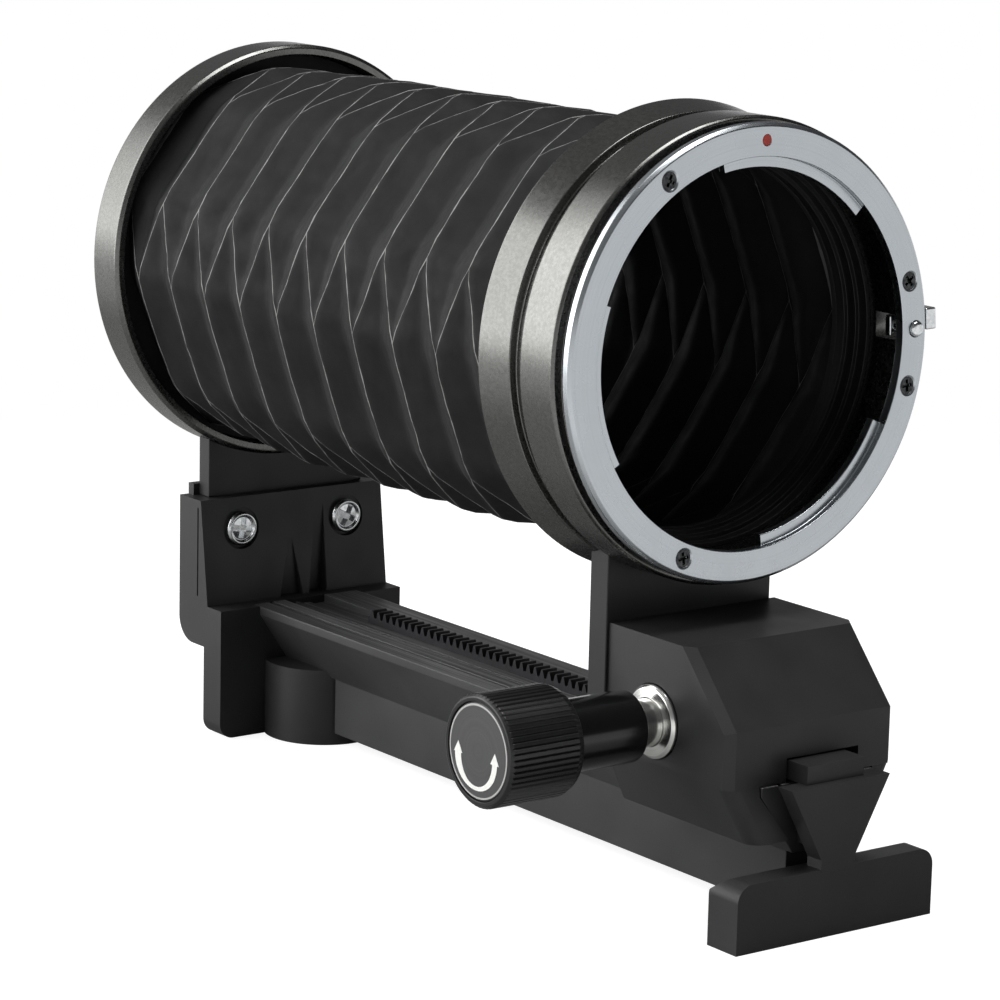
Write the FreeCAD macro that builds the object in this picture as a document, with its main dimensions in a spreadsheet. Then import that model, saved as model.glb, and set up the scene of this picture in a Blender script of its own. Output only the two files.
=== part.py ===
# Macro bellows unit: a pleated light-tight tube between a camera mount and a lens mount.
# The camera end stands on a dovetail rail.  The lens end rides that rail on a carriage, moved by a
# rack and pinion that the side knob turns, so the pleats open and close.
# Frame: millimetres, +Z up, +X from the camera towards the lens, -Y the side of the knob.
# Origin: the plane of the camera flange, on the optical axis.
import FreeCAD, Part
import math
import os
import re
import Sketcher
from FreeCAD import Placement, Rotation, Vector

# ----------------------------------------------------------------------------- driving dimensions
SIZES = {
    # camera end, from the throat outwards: each value is the step to the next radius
    "camera_throat_radius": 22.0,
    "bayonet_tube_wall": 2.6,
    "bayonet_lug_height": 1.6,
    "bayonet_tube_gap": 0.4,
    "bayonet_screw_inset": 1.9,
    "bayonet_screw_border": 2.1,
    "rear_ring_border": 3.6,
    "bayonet_flange_thick": 1.4,
    "bayonet_tube_length": 5.5,
    "bayonet_lug_thick": 1.6,
    "bayonet_lug_setback": 3.2,
    "bayonet_lug_span": 48.0,
    "rear_ring_width": 7.0,
    "ring_wall": 1.6,
    "ring_back_edge": 0.4,
    "ring_front_edge": 0.5,
    "rear_floor": 2.6,
    # bellows
    "fold_depth": 2.2,
    "bellows_wall": 0.7,
    "pleat_count": 10,
    "panel_span": 36.0,
    "rear_collar": 0.65,
    "front_collar": 3.6,
    "frame_thick": 0.9,
    "frame_width": 4.9,
    "frame_rim": 0.6,
    "glue_gap": 0.1,
    # lens end: steps inwards from the recess that holds the bellows, then outwards again
    "front_recess_depth": 2.1,
    "recess_step": 3.0,
    "throat_step": 1.0,
    "mount_tab_height": 1.5,
    "mount_tab_thick": 1.3,
    "mount_tab_setback": 1.0,
    "mount_tab_root": 0.3,
    "mount_ring_width": 4.6,
    "mount_ring_thick": 1.5,
    "mount_ring_bevel": 0.5,
    "mount_screw_inset": 2.1,
    "index_dot_inset": 2.2,
    "index_dot_radius": 0.75,
    "index_dot_depth": 0.3,
    "barrel_border": 0.2,
    "barrel_band_width": 5.0,
    "barrel_lip": 0.4,
    "waist_depth": 0.6,
    "waist_width": 2.0,
    "shadow_groove_depth": 1.0,
    "shadow_groove_width": 1.5,
    "front_ring_height": 3.6,
    "front_ring_taper": 1.4,
    "front_ring_width": 5.0,
    "baffle_length": 5.0,
    "baffle_steps": 3,
    "baffle_step_depth": 0.65,
    "release_inset": 2.4,
    "release_angle": 2.8,
    "release_gap": 0.3,
    "release_travel": 1.5,
    "release_arm_thick": 1.2,
    "release_arm_width": 3.0,
    "release_arm_lap": 0.5,
    "release_pad_width": 5.0,
    "release_pad_thick": 1.9,
    "release_pad_reach": 3.4,
    "release_pad_lip": 0.7,
    "lock_pin_radius": 1.1,
    "lock_pin_stand": 1.3,
    "lock_pin_edge": 0.4,
    # standards
    "rear_plate_start": 2.7,
    "rear_plate_thick": 2.95,
    "rear_plate_half": 14.6,
    "tongue_step": 1.6,
    "tongue_length": 18.0,
    "front_plate_thick": 3.9,
    "front_plate_setback": 0.8,
    "front_plate_half": 16.0,
    "front_screw_drop": 6.0,
    "saddle_lap": 2.0,
    # rail and rack
    "rail_length": 124.8,
    "rail_half": 9.9,
    "rail_lip": 1.3,
    "rail_nose_depth": 9.9,
    "web_half": 4.0,
    "web_lift": 2.1,
    "mortise_depth": 2.0,
    "edge_groove_left": -6.9,
    "edge_groove_width": 0.6,
    "edge_groove_depth": 0.4,
    "channel_left": -3.8,
    "channel_depth": 0.9,
    "channel_rib_left": -1.9,
    "channel_rib_width": 0.6,
    "channel_rib_height": 0.4,
    "rack_near": 1.0,
    "rack_width": 2.65,
    "rack_seat_depth": 1.2,
    "rack_start": 28.0,
    "rack_end_gap": 0.4,
    "gear_module": 0.541,
    "pinion_teeth": 21,
    "pressure_angle": 20.0,
    "addendum": 0.55,
    "dedendum": 0.66,
    "backlash": 0.12,
    "tip_relief": 0.02,
    # feet
    "stand_height": 20.8,
    "bracket_drop": 6.0,
    "bracket_back_wall": 1.5,
    "bracket_front_wall": 1.75,
    "bracket_draft": 2.2,
    "bracket_depth": 6.7,
    "bracket_corner": 4.0,
    "ledge_height": 1.8,
    "ledge_inset": 1.6,
    "seam_setback": 0.6,
    "seam_width": 0.35,
    "seam_depth": 0.4,
    "seam_border": 1.2,
    "low_flute_left": -3.4,
    "low_flute_top_left": -1.2,
    "low_flute_top_right": -0.6,
    "low_flute_right": 1.0,
    "low_flute_drop": 7.4,
    "tall_flute_left": 2.1,
    "tall_flute_top_left": 4.2,
    "tall_flute_top_right": 5.8,
    "tall_flute_right": 5.6,
    "tall_flute_drop": 2.4,
    "foot_half": 17.2,
    "foot_plate_step": 1.2,
    "foot_plate_thick": 5.0,
    "foot_corner": 2.5,
    "boss_radius": 9.4,
    "boss_lap": 1.2,
    "boss_offset": 3.4,
    "tripod_thread_radius": 3.175,
    "tripod_bush_radius": 5.2,
    "tripod_bush_length": 9.0,
    "tripod_bush_floor": 1.0,
    "bracket_screw_spread": 10.0,
    "bracket_screw_drop": 5.0,
    "front_bar_half": 17.4,
    "front_bar_lap": 1.3,
    "front_bar_thick": 6.05,
    "front_bar_height": 9.6,
    "front_bar_corner": 2.5,
    "front_bar_bevel_run": 2.4,
    "front_bar_bevel_drop": 1.8,
    "foot_face_gap": 1.9,
    "foot_face_thick": 2.9,
    "foot_face_inset": 1.2,
    "foot_face_rise": 0.55,
    "neck_inset": 1.0,
    "tenon_inset": 0.5,
    "tenon_height": 7.0,
    "stop_length": 4.6,
    "stop_overlap": 1.7,
    "stop_half": 5.05,
    "stop_height": 2.6,
    "stop_root": 0.05,
    # carriage
    "carriage_height": 18.0,
    "rest_gap": 0.35,
    "housing_border": 1.9,
    "housing_half": 14.1,
    "housing_cover": 1.4,
    "housing_length": 26.3,
    "housing_slope_run": 8.8,
    "housing_slope_drop": 9.8,
    "housing_bevel": 1.2,
    "claw_depth": 7.65,
    "claw_lead": 1.6,
    "claw_foot_half": 12.0,
    "claw_corner": 2.0,
    "slide_gap": 0.15,
    "side_gap": 0.18,
    "rack_gap": 0.3,
    "stop_gap": 0.3,
    "stop_slot_depth": 4.0,
    "stop_slot_far": 7.4,
    "chamber_radius": 6.9,
    "chamber_wall": 5.3,
    "chamber_far": 5.2,
    # focusing drive
    "drive_setback": 10.25,
    "spindle_radius": 3.3,
    "spindle_end_radius": 2.0,
    "spindle_end_setback": 0.2,
    "spindle_tail": 10.3,
    "pinion_near": 0.7,
    "pinion_width": 3.5,
    "far_bush_wall": 1.35,
    "far_bush_length": 3.6,
    "bush_wall": 0.85,
    "bush_flange_height": 0.8,
    "bush_flange_thick": 1.2,
    "bush_flange_proud": 0.6,
    "bush_flange_edge": 0.3,
    "bush_cone_height": 0.9,
    "bush_seat_gap": 0.3,
    "running_gap": 0.05,
    "clip_height": 1.6,
    "clip_groove_depth": 0.4,
    "clip_thick": 0.8,
    "clip_gap_from_bush": 0.3,
    "clip_opening": 70.0,
    "sleeve_wall": 1.7,
    "sleeve_gap": 3.9,
    "sleeve_length": 12.3,
    "sleeve_end_wall": 1.0,
    "sleeve_edge": 0.4,
    "knob_radius": 7.7,
    "knob_length": 12.5,
    "knob_gap": 0.2,
    "knob_edge": 1.5,
    "knob_lip": 0.45,
    "knob_rim": 1.0,
    "knob_face_thick": 0.8,
    "knob_face_edge": 0.35,
    "knurl_count": 60,
    "knurl_depth": 0.35,
    "knurl_width": 0.4,
    # screws
    "pan_head_radius": 3.1,
    "pan_head_thick": 2.2,
    "pan_rim_thick": 1.0,
    "pan_dome_drop": 0.33,
    "pan_dome_inset": 0.62,
    "pan_top_inset": 1.7,
    "pan_shank_radius": 1.5,
    "pan_shank_length": 5.6,
    "pan_seat_depth": 0.45,
    "pan_seat_gap": 0.2,
    "pan_slot_width": 0.9,
    "pan_slot_depth": 1.2,
    "pan_slot_inset": 1.24,
    "small_screw_head": 1.45,
    "small_screw_shank": 0.8,
    "small_screw_length": 2.4,
    "small_slot_width": 0.45,
    "small_slot_depth": 0.5,
    "small_slot_inset": 0.58,
    # how far a cut runs past the surface, and how far an added form starts inside another
    "overcut": 1.0,
    "lap": 0.5,
}

# ------------------------------------------------------- places worked out from those dimensions
PLACES = {
    # radii of the camera end
    "bayonet_tube_radius": "camera_throat_radius + bayonet_tube_wall",
    "bayonet_lug_radius": "bayonet_tube_radius + bayonet_lug_height",
    "rear_opening_radius": "bayonet_tube_radius + bayonet_tube_gap",
    "bayonet_screw_circle": "rear_opening_radius + bayonet_screw_inset",
    "bayonet_flange_radius": "bayonet_screw_circle + bayonet_screw_border",
    "rear_ring_radius": "bayonet_flange_radius + rear_ring_border",
    "rear_recess_radius": "rear_ring_radius - ring_wall",
    "frame_radius": "rear_recess_radius - glue_gap",
    "frame_bore_radius": "frame_radius - frame_width",
    "bellows_corner_radius": "frame_radius - frame_rim",
    # radii of the lens end
    "front_recess_radius": "frame_radius + glue_gap",
    "barrel_bore_radius": "front_recess_radius - recess_step",
    "mount_throat_radius": "barrel_bore_radius - throat_step",
    "mount_tab_radius": "mount_throat_radius - mount_tab_height",
    "mount_screw_circle": "mount_throat_radius + mount_screw_inset",
    "index_dot_circle": "mount_throat_radius + index_dot_inset",
    "release_circle": "mount_throat_radius + release_inset",
    "mount_ring_radius": "mount_throat_radius + mount_ring_width",
    "shadow_groove_radius": "mount_ring_radius - shadow_groove_depth",
    "barrel_radius": "mount_ring_radius + barrel_border",
    "waist_radius": "barrel_radius - waist_depth",
    "front_ring_radius": "barrel_radius + front_ring_height",
    "front_ring_nose_radius": "front_ring_radius - front_ring_taper",
    "release_pad_inner": "barrel_radius + release_gap",
    "release_pad_outer": "release_pad_inner + release_pad_thick",
    # heights
    "bracket_top": "-(rear_ring_radius + bracket_drop)",
    "housing_top": "-(front_ring_radius + housing_border)",
    "rail_top": "housing_top - carriage_height",
    "lip_bottom": "rail_top - rail_lip",
    "nose_bottom": "rail_top - rail_nose_depth",
    "ground": "rail_top - stand_height",
    "web_bottom": "ground + web_lift",
    "bracket_bottom": "rail_top - bracket_depth",
    "boss_top": "nose_bottom + boss_lap",
    "bracket_screw_z": "bracket_top - bracket_screw_drop",
    "front_screw_z": "housing_top - front_screw_drop",
    "rear_plate_top": "-sqrt(rear_ring_radius ^ 2 - rear_plate_half ^ 2) + saddle_lap",
    "front_plate_top": "-sqrt(front_ring_nose_radius ^ 2 - front_plate_half ^ 2) + saddle_lap",
    "front_bar_top": "ground + front_bar_height",
    "foot_face_top": "rail_top + foot_face_rise",
    "stop_top": "foot_face_top + stop_height",
    "tenon_top": "lip_bottom",
    "tenon_bottom": "tenon_top - tenon_height",
    "claw_top": "rail_top + slide_gap",
    "claw_bottom": "claw_top - claw_depth",
    # along the rail, from the camera forwards
    "bellows_start": "rear_floor + frame_thick",
    "bracket_back": "rear_plate_start - bracket_back_wall",
    "bracket_front": "rear_plate_start + rear_plate_thick + bracket_front_wall",
    "bracket_foot": "bracket_front + bracket_draft",
    "bracket_lean": "bracket_draft / (bracket_top - rail_top)",
    "bracket_seat": "bracket_front + bracket_lean * bracket_screw_drop - pan_seat_depth",
    "foot_plate_back": "bracket_front + foot_plate_step",
    "foot_plate_front": "foot_plate_back + foot_plate_thick",
    "boss_x": "foot_plate_front + boss_offset",
    "web_start": "boss_x + boss_radius",
    "rail_start": "foot_plate_front - mortise_depth",
    "rail_end": "rail_start + rail_length",
    "rack_end": "rail_end - rack_end_gap",
    "front_bar_back": "rail_end - front_bar_lap",
    "foot_face_back": "rail_end + foot_face_gap",
    "stop_back": "foot_face_back - stop_length + stop_overlap",
    # along the rail, from the carriage at its front stop backwards and forwards
    "housing_front": "rail_end - rest_gap",
    "housing_back": "housing_front - housing_length",
    "claw_front": "housing_front + claw_lead",
    "claw_lean": "claw_lead / claw_depth",
    "drive_axis_x": "housing_back + drive_setback",
    "front_plate_back": "housing_back - front_plate_thick",
    "front_ring_back": "front_plate_back - front_plate_setback",
    "front_ring_face": "front_ring_back + front_ring_width",
    "front_floor": "front_ring_back + front_recess_depth",
    "bellows_end": "front_floor - frame_thick",
    "waist_face": "front_ring_face + waist_width",
    "band_face": "waist_face + barrel_band_width",
    "barrel_face": "band_face + shadow_groove_width",
    "lens_plane": "barrel_face + mount_ring_thick",
    "tab_front": "lens_plane - mount_tab_setback",
    "release_back": "barrel_face - release_pad_reach",
    # across the rail
    "tongue_half": "rear_plate_half - tongue_step",
    "ledge_half": "foot_half - ledge_inset",
    "rack_far": "rack_near + rack_width",
    "foot_face_top_half": "rail_half - foot_face_inset",
    "foot_face_neck_half": "web_half - neck_inset",
    "tenon_half": "web_half - tenon_inset",
    "channel_half": "rail_half + side_gap",
    "underside_slope": "(rail_half - web_half) / (lip_bottom - nose_bottom)",
    # rack and pinion
    "circular_pitch": "gear_module * pi",
    "pitch_radius": "gear_module * pinion_teeth / 2",
    "pitch_line": "rail_top + dedendum",
    "rack_tip": "pitch_line + addendum",
    "drive_axis_z": "pitch_line + pitch_radius",
    "tooth_half": "circular_pitch / 4 - backlash / 4",
    "tooth_tip_half": "tooth_half - addendum * tan(pressure_angle)",
    "tooth_root_half": "tooth_half + dedendum * tan(pressure_angle)",
    "space_x": "drive_axis_x + circular_pitch / 2",
    "teeth_behind": "floor((space_x - rack_start - tooth_root_half) / circular_pitch)",
    "first_tooth": "space_x - teeth_behind * circular_pitch",
    "rack_teeth": "floor((rack_end - tooth_root_half - first_tooth) / circular_pitch) + 1",
    # along the drive axis, measured as Y from the optical axis
    "housing_near": "-(housing_half + housing_cover)",
    "chamber_near": "housing_near + chamber_wall",
    "clip_near": "chamber_near + clip_gap_from_bush",
    "clip_radius": "spindle_radius + clip_height",
    "clip_groove_radius": "spindle_radius - clip_groove_depth",
    "bush_radius": "spindle_radius + running_gap + bush_wall",
    "bush_flange_radius": "bush_radius + bush_flange_height",
    "bush_seat_radius": "bush_flange_radius + bush_seat_gap",
    "bush_face": "housing_near - bush_flange_proud",
    "far_bush_radius": "spindle_end_radius + running_gap + far_bush_wall",
    "sleeve_radius": "spindle_radius + sleeve_wall",
    "sleeve_far": "bush_face - sleeve_gap",
    "sleeve_near": "sleeve_far - sleeve_length",
    "sleeve_step": "sleeve_near + sleeve_end_wall",
    "spindle_tail_end": "sleeve_near - spindle_tail",
    "spindle_end": "chamber_far + far_bush_length - spindle_end_setback",
    "knob_near": "sleeve_near - knob_gap",
    "knob_end": "knob_near - knob_length",
    "knob_recess": "knob_end + knob_face_thick",
    "knob_face_radius": "knob_radius - knob_rim",
    "knob_bore": "spindle_end_radius + running_gap",
}

LUG_CENTRES = (30.0, 150.0, 270.0)
TAB_EDGES = ((44.4, 102.3), (161.0, 210.8), (277.0, 334.5))
MOUNT_SCREW_ANGLES = (122.5, 16.5, -13.0, -112.5)
BAYONET_SCREW_ANGLES = (90.0, 180.0, 225.0, 315.0)
FIRST_PANEL_ANGLE = 124.0
PANELS = 6
FLANK_STEPS = 3
SAME = 0.01
QUARTER_TURN = Rotation(Vector(0, 0, 1), 90)
HALF_TURN = QUARTER_TURN * QUARTER_TURN

doc = FreeCAD.newDocument("MacroBellows")
OWNER = {}
NODES = []


def bound(text, home=""):
    """Turn plain names into references to the sheet that holds them."""
    def reference(word):
        sheet = OWNER.get(word[0], home)
        return word[0] if sheet == home else f"{sheet}.{word[0]}"
    return re.sub(r"[a-z]\w+", reference, str(text))


def fill_sheet(name, cells, mark):
    """One row per name: numbers in the first sheet, formulas in the second."""
    sheet = doc.addObject("Spreadsheet::Sheet", name)
    for row, (alias, content) in enumerate(cells.items(), start=1):
        sheet.set(f"A{row}", alias)
        sheet.set(f"B{row}", mark + bound(content, name))
        sheet.setAlias(f"B{row}", alias)
        OWNER[alias] = name
    doc.recompute()
    return sheet


sizes = fill_sheet("Sizes", SIZES, "")
places = fill_sheet("Places", PLACES, "=")


def number(text):
    """The present value of a formula in the names of the two sheets."""
    return float(sizes.evalExpression(bound(text)))


def drive(thing, slot, text):
    """Bind one property of a document object to a formula."""
    thing.setExpression(slot, bound(text))


# ------------------------------------------------------------------------------ modelling helpers
def new_body(label, axis="optical"):
    """A body of its own; a piece of the drive is modelled along X and turned onto its Y axis."""
    body = doc.addObject("PartDesign::Body", label)
    body.Label = label
    NODES.append(body)
    if axis == "drive":
        body.Placement = Placement(Vector(0, 0, 0), QUARTER_TURN)
        drive(body, "Placement.Base.x", "drive_axis_x")
        drive(body, "Placement.Base.z", "drive_axis_z")
    return body


def attach(thing, body, plane, shift):
    """Lay a sketch or a primitive on one of its body's own origin planes, shifted by formulas."""
    planes = {item.Role: item for item in body.Origin.OriginFeatures}
    thing.AttachmentSupport = [(planes[f"{plane}_Plane"], "")]
    thing.MapMode = "FlatFace"
    for axis, text in zip("xyz", shift):
        drive(thing, f"AttachmentOffset.Base.{axis}", text)


def outline(body, name, plane, lift, *loops):
    """A sketch of closed straight-sided loops; every corner is tied to two formulas."""
    sketch = body.newObject("Sketcher::SketchObject", name)
    attach(sketch, body, plane, ("0", "0", lift))
    for corners in loops:
        first = sketch.GeometryCount
        spots = [Vector(number(across), number(up), 0) for across, up in corners]
        for here, there in zip(spots, spots[1:] + spots[:1]):
            sketch.addGeometry(Part.LineSegment(here, there), False)
        for step in range(len(corners)):
            following = (step + 1) % len(corners)
            joint = Sketcher.Constraint("Coincident", first + step, 2, first + following, 1)
            sketch.addConstraint(joint)
        for step, pair in enumerate(corners):
            for kind, text in zip(("DistanceX", "DistanceY"), pair):
                limit = Sketcher.Constraint(kind, -1, 1, first + step, 1, number(text))
                drive(sketch, f"Constraints[{sketch.addConstraint(limit)}]", text)
    return sketch


def circles(body, name, plane, lift, *rounds):
    """A sketch of circles, each given by the formulas of its centre and radius."""
    sketch = body.newObject("Sketcher::SketchObject", name)
    attach(sketch, body, plane, ("0", "0", lift))
    for across, up, radius in rounds:
        centre = Vector(number(across), number(up), 0)
        ring = sketch.addGeometry(Part.Circle(centre, Vector(0, 0, 1), number(radius)), False)
        for kind, text in zip(("DistanceX", "DistanceY"), (across, up)):
            limit = Sketcher.Constraint(kind, -1, 1, ring, 3, number(text))
            drive(sketch, f"Constraints[{sketch.addConstraint(limit)}]", text)
        limit = Sketcher.Constraint("Radius", ring, number(radius))
        drive(sketch, f"Constraints[{sketch.addConstraint(limit)}]", radius)
    return sketch


def rectangle(left, right, low, high):
    return ((left, low), (right, low), (right, high), (left, high))


def extrude(body, sketch, length, kind="Pad", backward=False, both=False):
    """Pad along the sketch's normal, or Pocket along it, and see that the solid has changed."""
    doc.recompute()
    before = body.Shape.Volume if body.Shape.Solids else 0.0
    feature = body.newObject(f"PartDesign::{kind}", f"{sketch.Name}_{kind}")
    feature.Profile = sketch
    feature.SideType = "Symmetric" if both else "One side"
    feature.Reversed = backward if kind == "Pad" else not backward
    drive(feature, "Length", length)
    doc.recompute()
    grown = body.Shape.Volume - before
    if (grown <= 0) == (kind == "Pad"):
        raise ValueError(f"{body.Label}: {sketch.Name} changed the volume by {grown:.3f}")
    return feature


def spin(body, sketch, kind="Revolution", sweep="360"):
    """Turn a profile about the sketch's horizontal axis, adding or cutting."""
    feature = body.newObject(f"PartDesign::{kind}", f"{sketch.Name}_{kind}")
    feature.Profile = sketch
    feature.ReferenceAxis = (sketch, ["H_Axis"])
    drive(feature, "Angle", sweep)
    doc.recompute()
    return feature


def turned(label, corners, axis="optical", sweep="360"):
    """A lathe-turned piece from its half section of (along, radius) corners."""
    body = new_body(label, axis)
    spin(body, outline(body, f"{label}_section", "XZ", "0", corners), sweep=sweep)
    return body


def dress(body, kind, size, chosen):
    """Fillet or chamfer the edges whose ends and middle pass the test."""
    doc.recompute()
    base = body.Tip
    names = []
    for index, edge in enumerate(base.Shape.Edges, start=1):
        middle = edge.valueAt((edge.FirstParameter + edge.LastParameter) / 2)
        if chosen(edge.BoundBox, middle):
            names.append(f"Edge{index}")
    feature = body.newObject(f"PartDesign::{kind}", f"{body.Label}_{kind}")
    feature.Base = (base, names)
    drive(feature, "Radius" if kind == "Fillet" else "Size", size)
    doc.recompute()
    return feature


def near(value, text):
    return abs(value - number(text)) < SAME


def primitive(body, kind, name, plane, shift, turn="0", **sizes_of_it):
    """A PartDesign cylinder or cone, standing on an origin plane."""
    feature = body.newObject(f"PartDesign::{kind}", name)
    attach(feature, body, plane, shift)
    feature.AttachmentOffset = Placement(Vector(0, 0, 0), Rotation(Vector(0, 0, 1), number(turn)))
    for axis, text in zip("xyz", shift):
        drive(feature, f"AttachmentOffset.Base.{axis}", text)
    for slot, text in sizes_of_it.items():
        drive(feature, slot, text)
    doc.recompute()
    return feature


def on_circle(radius, angle):
    """The formulas of a point on a circle about the optical axis; 0 degrees is +Y, 90 is up."""
    return f"{radius} * cos({angle})", f"{radius} * sin({angle})"


def group(label, master, placements):
    """Several equal fasteners in one node, each a solid of its own."""
    doc.recompute()
    node = doc.addObject("Part::Feature", label)
    copies = []
    for placement in placements:
        copy = master.Shape.copy()
        copy.Placement = placement
        copies.append(copy)
    node.Shape = Part.makeCompound(copies)
    node.Placement = Placement()
    node.Label = label
    NODES.append(node)
    return node


def screw_master(name, corners, slot_width, slot_depth, reach):
    """A screw along -X with its head at X = 0 and above, and a cross recess in the head."""
    body = doc.addObject("PartDesign::Body", name)
    spin(body, outline(body, f"{name}_section", "XZ", "0", corners))
    half = f"({slot_width} / 2)"
    reach = f"({reach})"
    cross = [(half, half), (half, reach), (f"-{half}", reach), (f"-{half}", half),
             (f"-{reach}", half), (f"-{reach}", f"-{half}"), (f"-{half}", f"-{half}"),
             (f"-{half}", f"-{reach}"), (half, f"-{reach}"), (half, f"-{half}"),
             (reach, f"-{half}"), (reach, half)]
    top = corners[-1][0]
    recess = outline(body, f"{name}_cross", "YZ", f"{top} - {slot_depth}", cross)
    extrude(body, recess, f"{slot_depth} + overcut", "Pocket")
    return body


# -------------------------------------------------------------------------------- rail and rack
def build_rail():
    body = new_body("rail")
    groove_right = "edge_groove_left + edge_groove_width"
    rib_right = "channel_rib_left + channel_rib_width"
    head = [
        ("-rail_half", "rail_top"),
        ("edge_groove_left", "rail_top"),
        ("edge_groove_left", "rail_top - edge_groove_depth"),
        (groove_right, "rail_top - edge_groove_depth"),
        (groove_right, "rail_top"),
        ("channel_left", "rail_top"),
        ("channel_left", "rail_top - channel_depth"),
        ("channel_rib_left", "rail_top - channel_depth"),
        ("channel_rib_left", "rail_top - channel_depth + channel_rib_height"),
        (rib_right, "rail_top - channel_depth + channel_rib_height"),
        (rib_right, "rail_top - channel_depth"),
        ("rack_near", "rail_top - channel_depth"),
        ("rack_near", "rail_top - rack_seat_depth"),
        ("rack_far", "rail_top - rack_seat_depth"),
        ("rack_far", "rail_top"),
        ("rail_half", "rail_top"),
        ("rail_half", "lip_bottom"),
        ("web_half", "nose_bottom"),
        ("-web_half", "nose_bottom"),
        ("-rail_half", "lip_bottom"),
    ]
    extrude(body, outline(body, "rail_head", "YZ", "rail_start", head), "rail_length")
    web = rectangle("-web_half", "web_half", "web_bottom", "nose_bottom + lap")
    extrude(body, outline(body, "rail_web", "YZ", "web_start", web), "front_bar_back - web_start")
    socket = rectangle("-tenon_half", "tenon_half", "tenon_bottom", "tenon_top")
    sketch = outline(body, "tenon_socket", "YZ", "rail_end - mortise_depth", socket)
    extrude(body, sketch, "mortise_depth + overcut", "Pocket")


def build_rack():
    """A straight rack: 20 degree teeth, with a tooth space under the pinion at rest."""
    body = new_body("rack")
    strip = rectangle("rack_near", "rack_far", "rail_top - rack_seat_depth", "rail_top")
    extrude(body, outline(body, "rack_strip", "YZ", "rack_start", strip), "rack_end - rack_start")
    tooth = [
        ("first_tooth - tooth_root_half", "rail_top - lap"),
        ("first_tooth + tooth_root_half", "rail_top - lap"),
        ("first_tooth + tooth_root_half", "rail_top"),
        ("first_tooth + tooth_tip_half", "rack_tip"),
        ("first_tooth - tooth_tip_half", "rack_tip"),
        ("first_tooth - tooth_root_half", "rail_top"),
    ]
    sketch = outline(body, "rack_tooth", "XZ", "-rack_near", tooth)
    pad = extrude(body, sketch, "rack_width", backward=True)
    row = body.newObject("PartDesign::LinearPattern", "rack_teeth_row")
    row.Originals = [pad]
    row.Direction = (sketch, ["H_Axis"])
    row.Mode = "Spacing"
    drive(row, "Offset", "circular_pitch")
    drive(row, "Occurrences", "rack_teeth")
    body.Tip = row
    doc.recompute()


# --------------------------------------------------------------------------------------- feet
def build_rear_foot():
    """One moulding: the bracket of the rear standard, the foot plate and the tripod boss."""
    body = new_body("rear_foot")
    side = [
        ("bracket_back", "bracket_top"),
        ("bracket_front", "bracket_top"),
        ("bracket_foot", "rail_top"),
        ("foot_plate_front", "rail_top"),
        ("foot_plate_front", "ground"),
        ("foot_plate_back", "ground"),
        ("foot_plate_back", "bracket_bottom"),
        ("bracket_back", "bracket_bottom"),
    ]
    extrude(body, outline(body, "foot_side", "XZ", "0", side), "2 * foot_half", both=True)
    dress(body, "Fillet", "bracket_corner", lambda box, middle: box.YLength > number("foot_half")
          and near(middle.x, "bracket_back") and near(middle.z, "bracket_bottom"))
    dress(body, "Fillet", "foot_corner", lambda box, middle: near(box.XLength, "foot_plate_thick")
          and near(middle.z, "ground") and near(abs(middle.y), "foot_half"))
    boss = circles(body, "boss_round", "XY", "ground", ("boss_x", "0", "boss_radius"))
    extrude(body, boss, "boss_top - ground")
    behind = rectangle("-boss_radius", "boss_radius", "ground - overcut", "bracket_bottom")
    trim = outline(body, "boss_trim", "YZ", "foot_plate_back", behind)
    extrude(body, trim, "boss_radius", "Pocket", backward=True)
    nose = [
        ("-rail_half", "rail_top + overcut"),
        ("rail_half", "rail_top + overcut"),
        ("rail_half", "lip_bottom"),
        ("web_half", "nose_bottom"),
        ("-web_half", "nose_bottom"),
        ("-rail_half", "lip_bottom"),
    ]
    mortise = outline(body, "rail_mortise", "YZ", "rail_start", nose)
    extrude(body, mortise, "rail_length", "Pocket")
    bush = circles(body, "bush_socket", "XY", "ground", ("boss_x", "0", "tripod_bush_radius"))
    extrude(body, bush, "tripod_bush_length", "Pocket")
    slot = rectangle("rear_plate_start", "rear_plate_start + rear_plate_thick",
                     "-tongue_half", "tongue_half")
    tongue = outline(body, "tongue_slot", "XY", "bracket_top - tongue_length", slot)
    extrude(body, tongue, "tongue_length + overcut", "Pocket")
    ledge = rectangle("-ledge_half", "ledge_half", "bracket_top - lap", "bracket_top + ledge_height")
    extrude(body, outline(body, "ledge", "YZ", "bracket_back", ledge), "bracket_back_wall")
    screw_holes(body, "bracket", "bracket_seat - pan_shank_length")
    seats = circles(body, "head_seats", "YZ", "bracket_seat",
                    ("-bracket_screw_spread", "bracket_screw_z", "pan_head_radius + pan_seat_gap"),
                    ("bracket_screw_spread", "bracket_screw_z", "pan_head_radius + pan_seat_gap"))
    extrude(body, seats, "bracket_draft + overcut", "Pocket")
    for flute in ("low_flute", "tall_flute"):
        top = f"bracket_top - {flute}_drop"
        corners = [
            (f"{flute}_left", "rail_top"),
            (f"{flute}_right", "rail_top"),
            (f"{flute}_top_right", top),
            (f"{flute}_top_left", top),
        ]
        sketch = outline(body, flute, "YZ", f"bracket_front + bracket_lean * {flute}_drop", corners)
        extrude(body, sketch, "bracket_draft + overcut", "Pocket")
    seam = rectangle("bracket_front - seam_setback - seam_width", "bracket_front - seam_setback",
                     "rail_top + seam_border", "bracket_top - seam_border")
    for index, side in enumerate(("foot_half - seam_depth", "-foot_half - overcut")):
        sketch = outline(body, f"seam_{index}", "XZ", f"-({side})", seam)
        extrude(body, sketch, "seam_depth + overcut", "Pocket", backward=True)


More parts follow.
